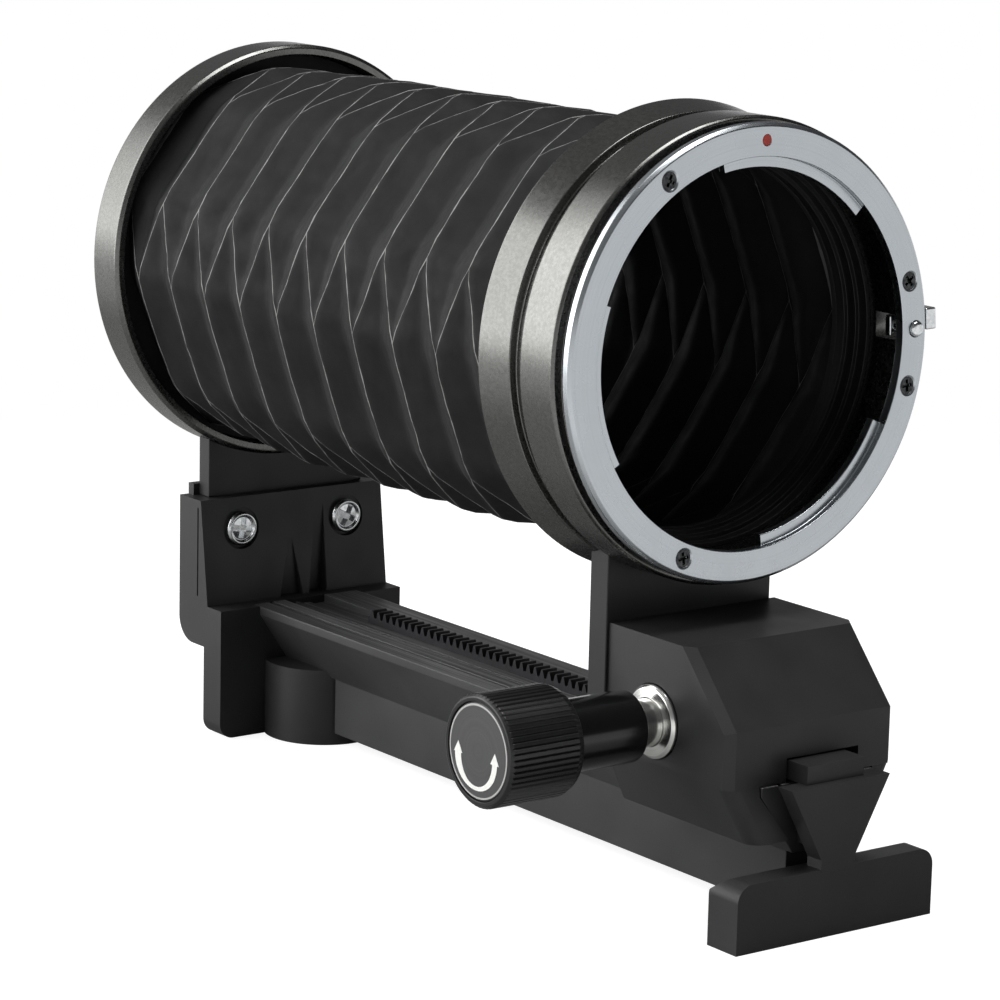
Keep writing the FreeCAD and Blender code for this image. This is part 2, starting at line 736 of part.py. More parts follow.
def screw_holes(body, name, start, height="bracket_screw_z"):
    """The two holes that a pair of pan-head screws passes through."""
    holes = circles(body, f"{name}_holes", "YZ", start,
                    ("-bracket_screw_spread", height, "pan_shank_radius"),
                    ("bracket_screw_spread", height, "pan_shank_radius"))
    extrude(body, holes, "pan_shank_length", "Pocket")


def build_front_foot():
    """The T-shaped foot with its dovetail-shaped face, tenon and travel stop."""
    body = new_body("front_foot")
    bar = rectangle("-front_bar_half", "front_bar_half", "ground", "front_bar_top")
    extrude(body, outline(body, "bar", "YZ", "front_bar_back", bar), "front_bar_thick")
    dress(body, "Fillet", "front_bar_corner", lambda box, middle: near(middle.z, "front_bar_top")
          and near(abs(middle.y), "front_bar_half"))
    bevel = [
        ("front_bar_back - overcut", "front_bar_top + overcut"),
        ("front_bar_back - overcut", "front_bar_top - front_bar_bevel_drop"),
        ("front_bar_back", "front_bar_top - front_bar_bevel_drop"),
        ("front_bar_back + front_bar_bevel_run", "front_bar_top"),
        ("front_bar_back + front_bar_bevel_run", "front_bar_top + overcut"),
    ]
    sketch = outline(body, "bar_bevel", "XZ", "0", bevel)
    extrude(body, sketch, "2 * (front_bar_half + overcut)", "Pocket", both=True)
    face = [
        ("-foot_face_top_half", "foot_face_top"),
        ("-foot_face_neck_half", "nose_bottom"),
        ("-foot_face_neck_half", "front_bar_top - lap"),
        ("foot_face_neck_half", "front_bar_top - lap"),
        ("foot_face_neck_half", "nose_bottom"),
        ("foot_face_top_half", "foot_face_top"),
    ]
    extrude(body, outline(body, "foot_face", "YZ", "foot_face_back", face), "foot_face_thick")
    tenon = rectangle("-tenon_half", "tenon_half", "tenon_bottom", "tenon_top")
    sketch = outline(body, "tenon", "YZ", "rail_end - mortise_depth", tenon)
    extrude(body, sketch, "foot_face_gap + mortise_depth + lap")
    stop = rectangle("-stop_half", "stop_half", "foot_face_top - stop_root", "stop_top")
    extrude(body, outline(body, "travel_stop", "YZ", "stop_back", stop), "stop_length")


def build_tripod_bush():
    """The threaded insert in the boss; its bore has the size of a quarter-inch thread."""
    body = new_body("tripod_bush")
    outer = circles(body, "bush_round", "XY", "ground", ("boss_x", "0", "tripod_bush_radius"))
    extrude(body, outer, "tripod_bush_length")
    bore = circles(body, "bush_thread", "XY", "ground", ("boss_x", "0", "tripod_thread_radius"))
    extrude(body, bore, "tripod_bush_length - tripod_bush_floor", "Pocket")


# ---------------------------------------------------------------------------- camera end
def build_rear_standard():
    body = new_body("rear_standard_plate")
    plate = [
        ("-rear_plate_half", "rear_plate_top"),
        ("rear_plate_half", "rear_plate_top"),
        ("rear_plate_half", "bracket_top"),
        ("tongue_half", "bracket_top"),
        ("tongue_half", "bracket_top - tongue_length"),
        ("-tongue_half", "bracket_top - tongue_length"),
        ("-tongue_half", "bracket_top"),
        ("-rear_plate_half", "bracket_top"),
    ]
    extrude(body, outline(body, "rear_plate", "YZ", "rear_plate_start", plate), "rear_plate_thick")
    saddle = rectangle("rear_plate_start - overcut", "rear_plate_start + rear_plate_thick + overcut",
                       "0", "rear_ring_radius")
    spin(body, outline(body, "rear_saddle", "XZ", "0", saddle), "Groove")
    screw_holes(body, "tongue", "bracket_seat - pan_shank_length")


def build_rear_ring():
    body = turned("rear_ring", [
        ("bayonet_flange_thick", "rear_opening_radius"),
        ("bayonet_flange_thick", "bayonet_flange_radius"),
        ("0", "bayonet_flange_radius"),
        ("0", "rear_ring_radius - ring_back_edge"),
        ("ring_back_edge", "rear_ring_radius"),
        ("rear_ring_width - ring_front_edge", "rear_ring_radius"),
        ("rear_ring_width", "rear_ring_radius - ring_front_edge"),
        ("rear_ring_width", "rear_recess_radius"),
        ("rear_floor", "rear_recess_radius"),
        ("rear_floor", "rear_opening_radius"),
    ])
    spots = [on_circle("bayonet_screw_circle", angle) for angle in BAYONET_SCREW_ANGLES]
    holes = [(across, up, "small_screw_shank") for across, up in spots]
    sketch = circles(body, "ring_screw_holes", "YZ", "bayonet_flange_thick", *holes)
    extrude(body, sketch, "rear_floor - bayonet_flange_thick", "Pocket")


def build_camera_bayonet():
    """The lens-side bayonet that locks into a camera: flange, tube and three lugs."""
    body = turned("camera_bayonet", [
        ("-bayonet_tube_length", "camera_throat_radius"),
        ("-bayonet_tube_length", "bayonet_tube_radius"),
        ("0", "bayonet_tube_radius"),
        ("0", "bayonet_flange_radius"),
        ("bayonet_flange_thick", "bayonet_flange_radius"),
        ("bayonet_flange_thick", "camera_throat_radius"),
    ])
    for index, centre in enumerate(LUG_CENTRES):
        primitive(body, "AdditiveCylinder", f"lug_{index}", "YZ",
                  ("0", "0", "-bayonet_lug_setback - bayonet_lug_thick"),
                  f"{centre} - bayonet_lug_span / 2", Radius="bayonet_lug_radius",
                  Height="bayonet_lug_thick", Angle="bayonet_lug_span")
    sketch = circles(body, "bayonet_bore", "YZ", "-bayonet_tube_length - overcut",
                     ("0", "0", "camera_throat_radius"))
    extrude(body, sketch, "bayonet_tube_length + bayonet_flange_thick + 2 * overcut", "Pocket")
    for index, angle in enumerate(BAYONET_SCREW_ANGLES):
        across, up = on_circle("bayonet_screw_circle", angle)
        countersink(body, f"bayonet_{index}", across, up, "0", "bayonet_flange_thick", 1)


def countersink(body, name, across, up, face, depth, inward):
    """A screw hole along X with a 90 degree seat; inward is +1 or -1, the way the screw points."""
    sink = "(small_screw_head - small_screw_shank)"
    wide, narrow = ("small_screw_head", "small_screw_shank")
    start = face if inward > 0 else f"{face} - {sink}"
    radii = (wide, narrow) if inward > 0 else (narrow, wide)
    primitive(body, "SubtractiveCone", f"{name}_seat", "YZ", (across, up, start),
              Radius1=radii[0], Radius2=radii[1], Height=sink)
    start = face if inward > 0 else f"{face} - {depth}"
    primitive(body, "SubtractiveCylinder", f"{name}_hole", "YZ", (across, up, start),
              Radius="small_screw_shank", Height=depth, Angle="360")


# ------------------------------------------------------------------------------------- bellows
def build_bellows():
    """Six flat panels and six folded corners: alternate panels crease half a pleat apart.

    Along the tube there is a section every half pleat.  Each section is a twelve-sided loop with
    two corners per panel.  A panel's corners stand out on its own ridges and lie in on its
    valleys, so its faces are flat strips.  Between two panels one stands out where the other lies
    in, and the corner zone folds along the line that joins the two ridges.
    """
    pleats = int(number("pleat_count"))
    start = number("bellows_start")
    end = number("bellows_end")
    first = start + number("rear_collar")
    step = (end - number("front_collar") - first) / (2 * pleats)
    outward = number("bellows_corner_radius")
    span = number("panel_span")
    stations = [(start, 0)] + [(first + step * index, index) for index in range(2 * pleats + 1)]
    stations.append((end, 2 * pleats))

    def section(x, index, inset):
        """The twelve corners of one section, panel by panel."""
        corners = []
        for panel in range(PANELS):
            valley = (index + panel) % 2
            radius = outward - inset - valley * number("fold_depth")
            for side in (0, 1):
                angle = math.radians(FIRST_PANEL_ANGLE + panel * 360 / PANELS + side * span)
                corners.append((Vector(x, radius * math.cos(angle), radius * math.sin(angle)), valley))
        return corners

    faces = []

    def add_face(inset, *points):
        """One flat facet; the facets of the inner skin face the other way."""
        ordered = points[::-1] if inset else points
        faces.append(Part.Face(Part.makePolygon([*ordered, ordered[0]])))

    for inset in (0.0, number("bellows_wall")):
        sections = [section(x, index, inset) for x, index in stations]
        for this, following in zip(sections, sections[1:]):
            for side in range(2 * PANELS):
                other = (side + 1) % (2 * PANELS)
                (near_a, valley_a), (near_b, valley_b) = this[side], this[other]
                (far_a, far_valley_a), (far_b, far_valley_b) = following[side], following[other]
                if side % 2 == 0 or far_valley_a == valley_a:
                    add_face(inset, near_a, near_b, far_b, far_a)
                elif valley_a:
                    add_face(inset, near_a, near_b, far_a)
                    add_face(inset, near_b, far_b, far_a)
                else:
                    add_face(inset, near_a, near_b, far_b)
                    add_face(inset, near_a, far_b, far_a)
    for x, index, direction in ((*stations[0], -1), (*stations[-1], 1)):
        loops = []
        for inset in (0.0, number("bellows_wall")):
            corners = [corner for corner, valley in section(x, index, inset)][::direction]
            loops.append(Part.makePolygon([*corners, corners[0]]))
        faces.append(Part.Face(loops))
    shell = Part.makeShell(faces)
    shell.sewShape()
    solid = Part.makeSolid(shell)
    if not solid.isValid():
        solid.fix(1e-6, 1e-6, 1e-6)
    node = doc.addObject("Part::Feature", "bellows")
    node.Shape = solid
    node.Placement = Placement()
    node.Label = "bellows"
    NODES.append(node)


def build_bellows_frames():
    """The two rings that the ends of the bellows are glued to."""
    for label, start in (("bellows_rear_frame", "rear_floor"), ("bellows_front_frame", "bellows_end")):
        section = rectangle(start, f"{start} + frame_thick", "frame_bore_radius", "frame_radius")
        turned(label, section)


# ------------------------------------------------------------------------------------ lens end
def build_lens_barrel():
    body = turned("lens_barrel", [
        ("front_ring_back", "front_recess_radius"),
        ("front_ring_back", "front_ring_radius"),
        ("front_ring_face", "front_ring_nose_radius"),
        ("front_ring_face", "waist_radius"),
        ("waist_face", "waist_radius"),
        ("waist_face", "barrel_radius - barrel_lip"),
        ("waist_face + barrel_lip", "barrel_radius"),
        ("band_face - barrel_lip", "barrel_radius"),
        ("band_face", "barrel_radius - barrel_lip"),
        ("band_face", "shadow_groove_radius"),
        ("barrel_face", "shadow_groove_radius"),
        ("barrel_face", "barrel_bore_radius"),
        ("front_floor", "barrel_bore_radius"),
        ("front_floor", "front_recess_radius"),
    ])
    slot = body.newObject("PartDesign::SubtractiveBox", "release_slot")
    planes = {item.Role: item for item in body.Origin.OriginFeatures}
    slot.AttachmentSupport = [(planes["YZ_Plane"], "")]
    slot.MapMode = "FlatFace"
    turn = Rotation(Vector(0, 0, 1), number("release_angle"))
    half = "release_arm_width / 2 + release_gap"
    corner = turn.multVec(Vector(number("barrel_bore_radius - overcut"), -number(half), 0))
    slot.AttachmentOffset = Placement(corner, turn)
    drive(slot, "AttachmentOffset.Base.z", "release_back - release_travel - release_gap")
    drive(slot, "Length", "barrel_radius")
    drive(slot, "Width", f"2 * ({half})")
    drive(slot, "Height", "release_pad_reach + release_travel + release_gap")
    doc.recompute()
    for index, angle in enumerate(MOUNT_SCREW_ANGLES):
        across, up = on_circle("mount_screw_circle", angle)
        primitive(body, "SubtractiveCylinder", f"barrel_hole_{index}", "YZ",
                  (across, up, "lens_plane - small_screw_length"),
                  Radius="small_screw_shank", Height="small_screw_length", Angle="360")


def build_light_baffle():
    """The blackened ring inside the barrel, stepped so that stray light is caught."""
    steps = int(number("baffle_steps"))
    corners = [("front_floor", "barrel_bore_radius"), ("front_floor + baffle_length", "barrel_bore_radius")]
    for index in range(steps):
        back = f"front_floor + baffle_length * {steps - index - 1} / {steps}"
        front = f"front_floor + baffle_length * {steps - index} / {steps}"
        radius = f"barrel_bore_radius - baffle_step_depth * {index + 1}"
        corners += [(front, radius), (back, radius)]
    turned("light_baffle", corners)


def build_lens_mount_ring():
    """The bayonet that takes a lens: a face ring with three tabs set back behind it."""
    body = turned("lens_mount_ring", [
        ("barrel_face", "mount_throat_radius"),
        ("barrel_face", "mount_ring_radius"),
        ("lens_plane - mount_ring_bevel", "mount_ring_radius"),
        ("lens_plane", "mount_ring_radius - mount_ring_bevel"),
        ("lens_plane", "mount_throat_radius"),
    ])
    for index, (low, high) in enumerate(TAB_EDGES):
        primitive(body, "AdditiveCylinder", f"tab_{index}", "YZ",
                  ("0", "0", "tab_front - mount_tab_thick"), low,
                  Radius="mount_throat_radius + mount_tab_root",
                  Height="mount_tab_thick", Angle=f"{high} - {low}")
    bore = circles(body, "tab_bore", "YZ", "tab_front - mount_tab_thick - overcut",
                   ("0", "0", "mount_tab_radius"))
    extrude(body, bore, "mount_tab_thick + mount_tab_setback + 2 * overcut", "Pocket")
    for index, angle in enumerate(MOUNT_SCREW_ANGLES):
        across, up = on_circle("mount_screw_circle", angle)
        countersink(body, f"mount_{index}", across, up, "lens_plane", "mount_ring_thick", -1)
    across, up = on_circle("release_circle", "release_angle")
    primitive(body, "SubtractiveCylinder", "pin_hole", "YZ", (across, up, "barrel_face"),
              Radius="lock_pin_radius + running_gap", Height="mount_ring_thick", Angle="360")
    primitive(body, "SubtractiveCylinder", "dot_seat", "YZ",
              ("0", "index_dot_circle", "lens_plane - index_dot_depth"),
              Radius="index_dot_radius", Height="index_dot_depth", Angle="360")


def build_index_dot():
    body = new_body("index_dot")
    dot = circles(body, "dot", "YZ", "lens_plane - index_dot_depth",
                  ("0", "index_dot_circle", "index_dot_radius"))
    extrude(body, dot, "index_dot_depth")


def build_release():
    """The lens release: a thumb pad outside the barrel and the pin that locks a lens."""
    body = new_body("release_lever")
    body.Placement = Placement(Vector(0, 0, 0), Rotation(Vector(1, 0, 0), number("release_angle")))
    drive(body, "Placement.Rotation.Angle", "release_angle")
    arm = rectangle("release_circle - lock_pin_radius - release_gap", "release_pad_inner + release_arm_lap",
                    "-release_arm_width / 2", "release_arm_width / 2")
    extrude(body, outline(body, "release_arm", "YZ", "release_back", arm), "release_arm_thick")
    pad = rectangle("release_pad_inner", "release_pad_outer",
                    "-release_pad_width / 2", "release_pad_width / 2")
    sketch = outline(body, "release_pad", "YZ", "release_back", pad)
    extrude(body, sketch, "release_pad_reach + release_pad_lip")
    pin = turned("lock_pin", [
        ("release_back + release_arm_thick", "0"),
        ("release_back + release_arm_thick", "lock_pin_radius"),
        ("lens_plane + lock_pin_stand - lock_pin_edge", "lock_pin_radius"),
        ("lens_plane + lock_pin_stand", "lock_pin_radius - lock_pin_edge"),
        ("lens_plane + lock_pin_stand", "0"),
    ])
    across, up = on_circle("release_circle", "release_angle")
    drive(pin, "Placement.Base.y", across)
    drive(pin, "Placement.Base.z", up)


# ------------------------------------------------------------------------------------ carriage
def build_front_standard():
    """The upright that carries the barrel on the carriage, notched over the rack."""
    body = new_body("front_standard_plate")
    foot = "rail_top + slide_gap"
    plate = [
        ("-front_plate_half", "front_plate_top"),
        ("front_plate_half", "front_plate_top"),
        ("front_plate_half", foot),
        ("rack_far + rack_gap", foot),
        ("rack_far + rack_gap", "rack_tip + rack_gap"),
        ("rack_near - rack_gap", "rack_tip + rack_gap"),
        ("rack_near - rack_gap", foot),
        ("-front_plate_half", foot),
    ]
    extrude(body, outline(body, "front_plate", "YZ", "front_plate_back", plate), "front_plate_thick")
    saddle = [
        ("front_ring_back", "0"),
        ("front_ring_back", "front_ring_radius"),
        ("front_ring_face", "front_ring_nose_radius"),
        ("front_ring_face", "0"),
    ]
    spin(body, outline(body, "front_saddle", "XZ", "0", saddle), "Groove")
    screw_holes(body, "front_plate", "front_plate_back", "front_screw_z")


def build_housing():
    """The carriage: a sloped gear housing whose two claws grip the dovetail from below.

    Its knob side stands out further, for the long bush of the spindle.  The claws lean forwards.
    """
    body = new_body("carriage_housing")
    claws = [
        ("housing_near", "claw_top"),
        ("housing_half", "claw_top"),
        ("claw_foot_half", "claw_bottom"),
        ("-claw_foot_half", "claw_bottom"),
    ]
    sketch = outline(body, "claws", "YZ", "housing_back", claws)
    extrude(body, sketch, "claw_front + overcut - housing_back")
    lean = [
        ("housing_front - claw_lean * overcut", "claw_top + overcut"),
        ("claw_front + 2 * overcut", "claw_top + overcut"),
        ("claw_front + 2 * overcut", "claw_bottom - overcut"),
        ("claw_front + claw_lean * overcut", "claw_bottom - overcut"),
    ]
    sketch = outline(body, "claw_fronts", "XZ", "0", lean)
    extrude(body, sketch, "2 * (housing_half + housing_cover + overcut)", "Pocket", both=True)
    dress(body, "Fillet", "claw_corner", lambda box, middle: near(box.XLength, "claw_lead")
          and near(box.ZLength, "claw_depth"))
    slope = "housing_front - housing_slope_run"
    side = [
        ("housing_back", "housing_top"),
        (slope, "housing_top"),
        ("housing_front", "housing_top - housing_slope_drop"),
        ("housing_front", "claw_top"),
        ("housing_back", "claw_top"),
    ]
    sketch = outline(body, "housing_side", "XZ", "-housing_near", side)
    extrude(body, sketch, "housing_half - housing_near", backward=True)
    dress(body, "Chamfer", "housing_bevel", lambda box, middle: box.YLength < SAME < box.ZLength
          and middle.x > number(slope) and middle.z > number("claw_top"))
    narrowed = "channel_half - underside_slope * (lip_bottom - claw_bottom + overcut)"
    channel = [
        ("-channel_half", "rail_top + slide_gap"),
        ("channel_half", "rail_top + slide_gap"),
        ("channel_half", "lip_bottom"),
        (narrowed, "claw_bottom - overcut"),
        (f"-({narrowed})", "claw_bottom - overcut"),
        ("-channel_half", "lip_bottom"),
    ]
    through = "claw_front - housing_back + 2 * overcut"
    sketch = outline(body, "rail_channel", "YZ", "housing_back - overcut", channel)
    extrude(body, sketch, through, "Pocket")
    slot = rectangle("rack_near - rack_gap", "rack_far + rack_gap", "rail_top", "rack_tip + rack_gap")
    extrude(body, outline(body, "rack_slot", "YZ", "housing_back - overcut", slot), through, "Pocket")
    stop = rectangle("-stop_half - stop_gap", "stop_slot_far", "rail_top", "stop_top + stop_gap")
    sketch = outline(body, "stop_slot", "YZ", "housing_front - stop_slot_depth", stop)
    extrude(body, sketch, "stop_slot_depth + overcut", "Pocket")
    bores = (
        ("bush_seat", "housing_near", "bush_flange_thick - bush_flange_proud", "bush_seat_radius"),
        ("bush_bore", "housing_near", "chamber_wall", "bush_radius"),
        ("chamber", "chamber_near", "chamber_far - chamber_near", "chamber_radius"),
        ("far_bore", "chamber_far", "far_bush_length", "far_bush_radius"),
    )
    for name, start, depth, radius in bores:
        sketch = circles(body, name, "XZ", f"-({start})", ("drive_axis_x", "drive_axis_z", radius))
        extrude(body, sketch, depth, "Pocket", backward=True)
    screw_holes(body, "housing", "front_plate_back", "front_screw_z")


# ------------------------------------------------------------------------------- focusing drive
def build_spindle():
    clip_far = "clip_near + clip_thick"
    turned("focus_spindle", [
        ("spindle_tail_end", "0"),
        ("spindle_tail_end", "spindle_end_radius"),
        ("sleeve_step", "spindle_end_radius"),
        ("sleeve_step", "spindle_radius"),
        ("clip_near", "spindle_radius"),
        ("clip_near", "clip_groove_radius"),
        (clip_far, "clip_groove_radius"),
        (clip_far, "spindle_radius"),
        ("pinion_near", "spindle_radius"),
        ("pinion_near", "spindle_end_radius"),
        ("spindle_end", "spindle_end_radius"),
        ("spindle_end", "0"),
    ], "drive")


def build_bushes():
    turned("spindle_bush", [
        ("bush_face - bush_cone_height", "spindle_radius + running_gap"),
        ("bush_face", "bush_flange_radius - bush_flange_edge"),
        ("bush_face + bush_flange_edge", "bush_flange_radius"),
        ("bush_face + bush_flange_thick", "bush_flange_radius"),
        ("bush_face + bush_flange_thick", "bush_radius"),
        ("chamber_near", "bush_radius"),
        ("chamber_near", "spindle_radius + running_gap"),
    ], "drive")
    turned("far_bush", rectangle("chamber_far", "chamber_far + far_bush_length",
                                 "spindle_end_radius + running_gap", "far_bush_radius"), "drive")


def build_circlip():
    """The open ring that keeps the spindle from being pulled out of its bush."""
    section = rectangle("clip_near", "clip_near + clip_thick", "clip_groove_radius", "clip_radius")
    turned("circlip", section, "drive", "360 - clip_opening")


def build_sleeve():
    turned("drive_sleeve", [
        ("sleeve_near", "spindle_end_radius"),
        ("sleeve_near", "sleeve_radius - sleeve_edge"),
        ("sleeve_near + sleeve_edge", "sleeve_radius"),
        ("sleeve_far - sleeve_edge", "sleeve_radius"),
        ("sleeve_far", "sleeve_radius - sleeve_edge"),
        ("sleeve_far", "spindle_radius"),
        ("sleeve_step", "spindle_radius"),
        ("sleeve_step", "spindle_end_radius"),
    ], "drive")


def build_knob():
    """The grip, with fine ridges along it, and the disc let into its face."""
    arc = "knob_edge * (1 - cos(45))"
    body = turned("focus_knob", [
        ("knob_near", "knob_bore"),
        ("knob_near", "knob_radius - knob_edge"),
        (f"knob_near - {arc}", f"knob_radius - {arc}"),
        ("knob_near - knob_edge", "knob_radius"),
        ("knob_end + knob_lip", "knob_radius"),
        ("knob_end", "knob_radius - knob_lip"),
        ("knob_end", "knob_face_radius"),
        ("knob_recess", "knob_face_radius"),
        ("knob_recess", "knob_bore"),
    ], "drive")
    notch = [
        ("-knurl_width / 2", "knob_radius + overcut"),
        ("-knurl_width / 2", "knob_radius"),
        ("0", "knob_radius - knurl_depth"),
        ("knurl_width / 2", "knob_radius"),
        ("knurl_width / 2", "knob_radius + overcut"),
    ]
    sketch = outline(body, "knurl_notch", "YZ", "knob_end - overcut", notch)
    cut = extrude(body, sketch, "knob_length + 2 * overcut", "Pocket")
    ring = body.newObject("PartDesign::PolarPattern", "knurl")
    ring.Originals = [cut]
    ring.Axis = (sketch, ["N_Axis"])
    ring.Angle = 360
    drive(ring, "Occurrences", "knurl_count")
    body.Tip = ring
    doc.recompute()
    turned("knob_face", [
        ("knob_end", "0"),
        ("knob_end", "knob_face_radius - knob_face_edge"),
        ("knob_end + knob_face_edge", "knob_face_radius"),
        ("knob_recess", "knob_face_radius"),
        ("knob_recess", "0"),
    ], "drive")


def build_pinion():
    """A spur pinion of involute teeth with one tooth pointing straight down."""
    teeth = int(number("pinion_teeth"))
    pitch = number("pitch_radius")
    base = pitch * math.cos(math.radians(number("pressure_angle")))
    tip = pitch + number("addendum - tip_relief")
    root = pitch - number("dedendum")

    def unwind(radius):
        """The polar angle that an involute has turned through at a radius."""
        roll = math.sqrt(max(radius * radius / (base * base) - 1, 0))
        return roll - math.atan(roll)

    half_at_pitch = number("tooth_half") / pitch
    radii = [base + (tip - base) * step / FLANK_STEPS for step in range(FLANK_STEPS + 1)]
    flank = [(root, half_at_pitch + unwind(pitch))]
    flank += [(radius, half_at_pitch + unwind(pitch) - unwind(radius)) for radius in radii]
    start = number("pinion_near")
    outline_points = []
    for tooth in range(teeth):
        centre = 2 * math.pi * tooth / teeth - math.pi / 2
        side = [(radius, centre - angle) for radius, angle in flank]
        side += [(radius, centre + angle) for radius, angle in reversed(flank)]
        outline_points += [Vector(start, radius * math.cos(angle), radius * math.sin(angle))
                           for radius, angle in side]
    rim = Part.makePolygon([*outline_points, outline_points[0]])
    width = number("pinion_width")
    blank = Part.Face(rim).extrude(Vector(width, 0, 0))
    bore = Part.makeCylinder(number("spindle_end_radius"), width, Vector(start, 0, 0), Vector(1, 0, 0))
    solid = blank.cut(bore).Solids[0]
    node = doc.addObject("Part::Feature", "pinion")
    node.Shape = solid
    node.Placement = Placement(Vector(number("drive_axis_x"), 0, number("drive_axis_z")), QUARTER_TURN)
    node.Label = "pinion"
    NODES.append(node)


# ----------------------------------------------------------------------------------- fasteners
def build_screws():
    pan = screw_master("pan_screw", [
        ("-pan_shank_length", "0"),
        ("-pan_shank_length", "pan_shank_radius"),
        ("0", "pan_shank_radius"),
        ("0", "pan_head_radius"),
        ("pan_rim_thick", "pan_head_radius"),
        ("pan_head_thick - pan_dome_drop", "pan_head_radius - pan_dome_inset"),
        ("pan_head_thick", "pan_head_radius - pan_top_inset"),
        ("pan_head_thick", "0"),
    ], "pan_slot_width", "pan_slot_depth", "pan_head_radius - pan_slot_inset")
    small = screw_master("small_screw", [
        ("-small_screw_length", "0"),
        ("-small_screw_length", "small_screw_shank"),
        ("small_screw_shank - small_screw_head", "small_screw_shank"),
        ("0", "small_screw_head"),
        ("0", "0"),
    ], "small_slot_width", "small_slot_depth", "small_screw_head - small_slot_inset")
    pair = [("-bracket_screw_spread", "bracket_screw_z"), ("bracket_screw_spread", "bracket_screw_z")]
    front_pair = [(across, "front_screw_z") for across, height in pair]
    mount = [on_circle("mount_screw_circle", angle) for angle in MOUNT_SCREW_ANGLES]
    bayonet = [on_circle("bayonet_screw_circle", angle) for angle in BAYONET_SCREW_ANGLES]
    for label, master, face, turn, spots in (
            ("bracket_screws", pan, "bracket_seat", Rotation(), pair),
            ("front_plate_screws", pan, "front_plate_back", HALF_TURN, front_pair),
            ("mount_screws", small, "lens_plane", Rotation(), mount),
            ("bayonet_screws", small, "0", HALF_TURN, bayonet)):
        group(label, master, [Placement(Vector(number(face), number(across), number(up)), turn)
                              for across, up in spots])


def check_document():
    """Every object has computed, and every node holds a valid solid."""
    doc.recompute()
    for thing in doc.Objects:
        if {"Invalid", "Error"} & set(thing.State):
            raise ValueError(f"{thing.Name} has failed: {thing.State}")
    for node in NODES:
        if node.Shape.isNull() or not node.Shape.isValid() or not node.Shape.Solids:
            raise ValueError(f"{node.Label} holds no valid solid")


for build in (build_rail, build_rack, build_rear_foot, build_front_foot, build_tripod_bush,
              build_rear_standard, build_rear_ring, build_camera_bayonet, build_bellows_frames,
              build_bellows, build_lens_barrel, build_light_baffle, build_lens_mount_ring,
              build_index_dot, build_release, build_front_standard, build_housing, build_spindle,
              build_bushes, build_circlip, build_sleeve, build_pinion, build_knob, build_screws):
    build()
check_document()
os.makedirs("parts", exist_ok=True)
for node in NODES:
    node.Shape.exportStep(f"parts/{node.Label}.step")
    size = node.Shape.BoundBox
    print(f"{node.Label:22s} solids {len(node.Shape.Solids)}  volume {node.Shape.Volume:10.2f}  "
          f"x {size.XMin:7.2f} {size.XMax:7.2f}  y {size.YMin:7.2f} {size.YMax:7.2f}  "
          f"z {size.ZMin:7.2f} {size.ZMax:7.2f}")
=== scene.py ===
# %% [markdown]
# # Dressing a macro bellows unit
# The construction of the unit comes in as a fixed frame: every piece is already at its place and
# real size, and it knows which body it moves with.  This script gives the pieces their looks:
# clean meshes with rounded edges, real finishes, soft light and a camera.
# Lengths are written in millimetres and turned to metres where a mesh is made.

# %% Load the fixed frame
import math

import bmesh
import bpy
from mathutils import Matrix, Vector


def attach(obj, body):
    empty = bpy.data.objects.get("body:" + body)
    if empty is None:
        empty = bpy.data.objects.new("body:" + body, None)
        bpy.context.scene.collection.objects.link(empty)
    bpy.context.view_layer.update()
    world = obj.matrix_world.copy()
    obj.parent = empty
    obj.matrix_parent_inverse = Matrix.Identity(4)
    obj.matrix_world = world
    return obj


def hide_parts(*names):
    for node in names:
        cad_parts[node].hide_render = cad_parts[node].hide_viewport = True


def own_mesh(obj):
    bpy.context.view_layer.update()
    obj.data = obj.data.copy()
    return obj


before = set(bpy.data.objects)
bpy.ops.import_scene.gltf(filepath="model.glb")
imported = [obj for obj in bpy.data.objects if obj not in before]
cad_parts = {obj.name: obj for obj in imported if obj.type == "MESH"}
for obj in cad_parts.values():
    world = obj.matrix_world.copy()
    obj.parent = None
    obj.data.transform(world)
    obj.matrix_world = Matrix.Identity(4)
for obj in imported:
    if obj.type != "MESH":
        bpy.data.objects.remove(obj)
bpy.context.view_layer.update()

# %% [markdown]
# ## Camera
# The unit is seen from its lens end, a little above the optical axis and from the knob's side.
# A long lens keeps the two rings nearly the same size.  The camera's place, its turn about the
# vertical, its lift and its small roll are set as a matrix, so that nothing has to be aimed.

# %% The camera
CAMERA_PLACE = (509.587, -333.082, 84.784)
CAMERA_TURN, CAMERA_LIFT, CAMERA_ROLL = (math.radians(angle) for angle in (53.267, 11.661, 1.357))
LENS_LENGTH = 137.841
SENSOR_WIDTH = 36.0
MM = 0.001

behind = Vector((math.sin(CAMERA_TURN) * math.cos(CAMERA_LIFT),
                 -math.cos(CAMERA_TURN) * math.cos(CAMERA_LIFT),
                 math.sin(CAMERA_LIFT)))
level_right = Vector((0, 0, 1)).cross(behind).normalized()
level_up = behind.cross(level_right)
right = level_right * math.cos(CAMERA_ROLL) + level_up * math.sin(CAMERA_ROLL)
up = level_up * math.cos(CAMERA_ROLL) - level_right * math.sin(CAMERA_ROLL)

scene = bpy.context.scene
camera = bpy.data.objects.new("camera", bpy.data.cameras.new("camera"))
camera.data.lens = LENS_LENGTH
camera.data.sensor_width = SENSOR_WIDTH
camera.matrix_world = (Matrix.Translation(Vector(CAMERA_PLACE) * MM)
                       @ Matrix((right, up, behind)).transposed().to_4x4())
scene.collection.objects.link(camera)
scene.camera = camera
scene.view_settings.view_transform = "Standard"
print("camera at", [round(part, 1) for part in CAMERA_PLACE], "mm, lens", LENS_LENGTH, "mm")

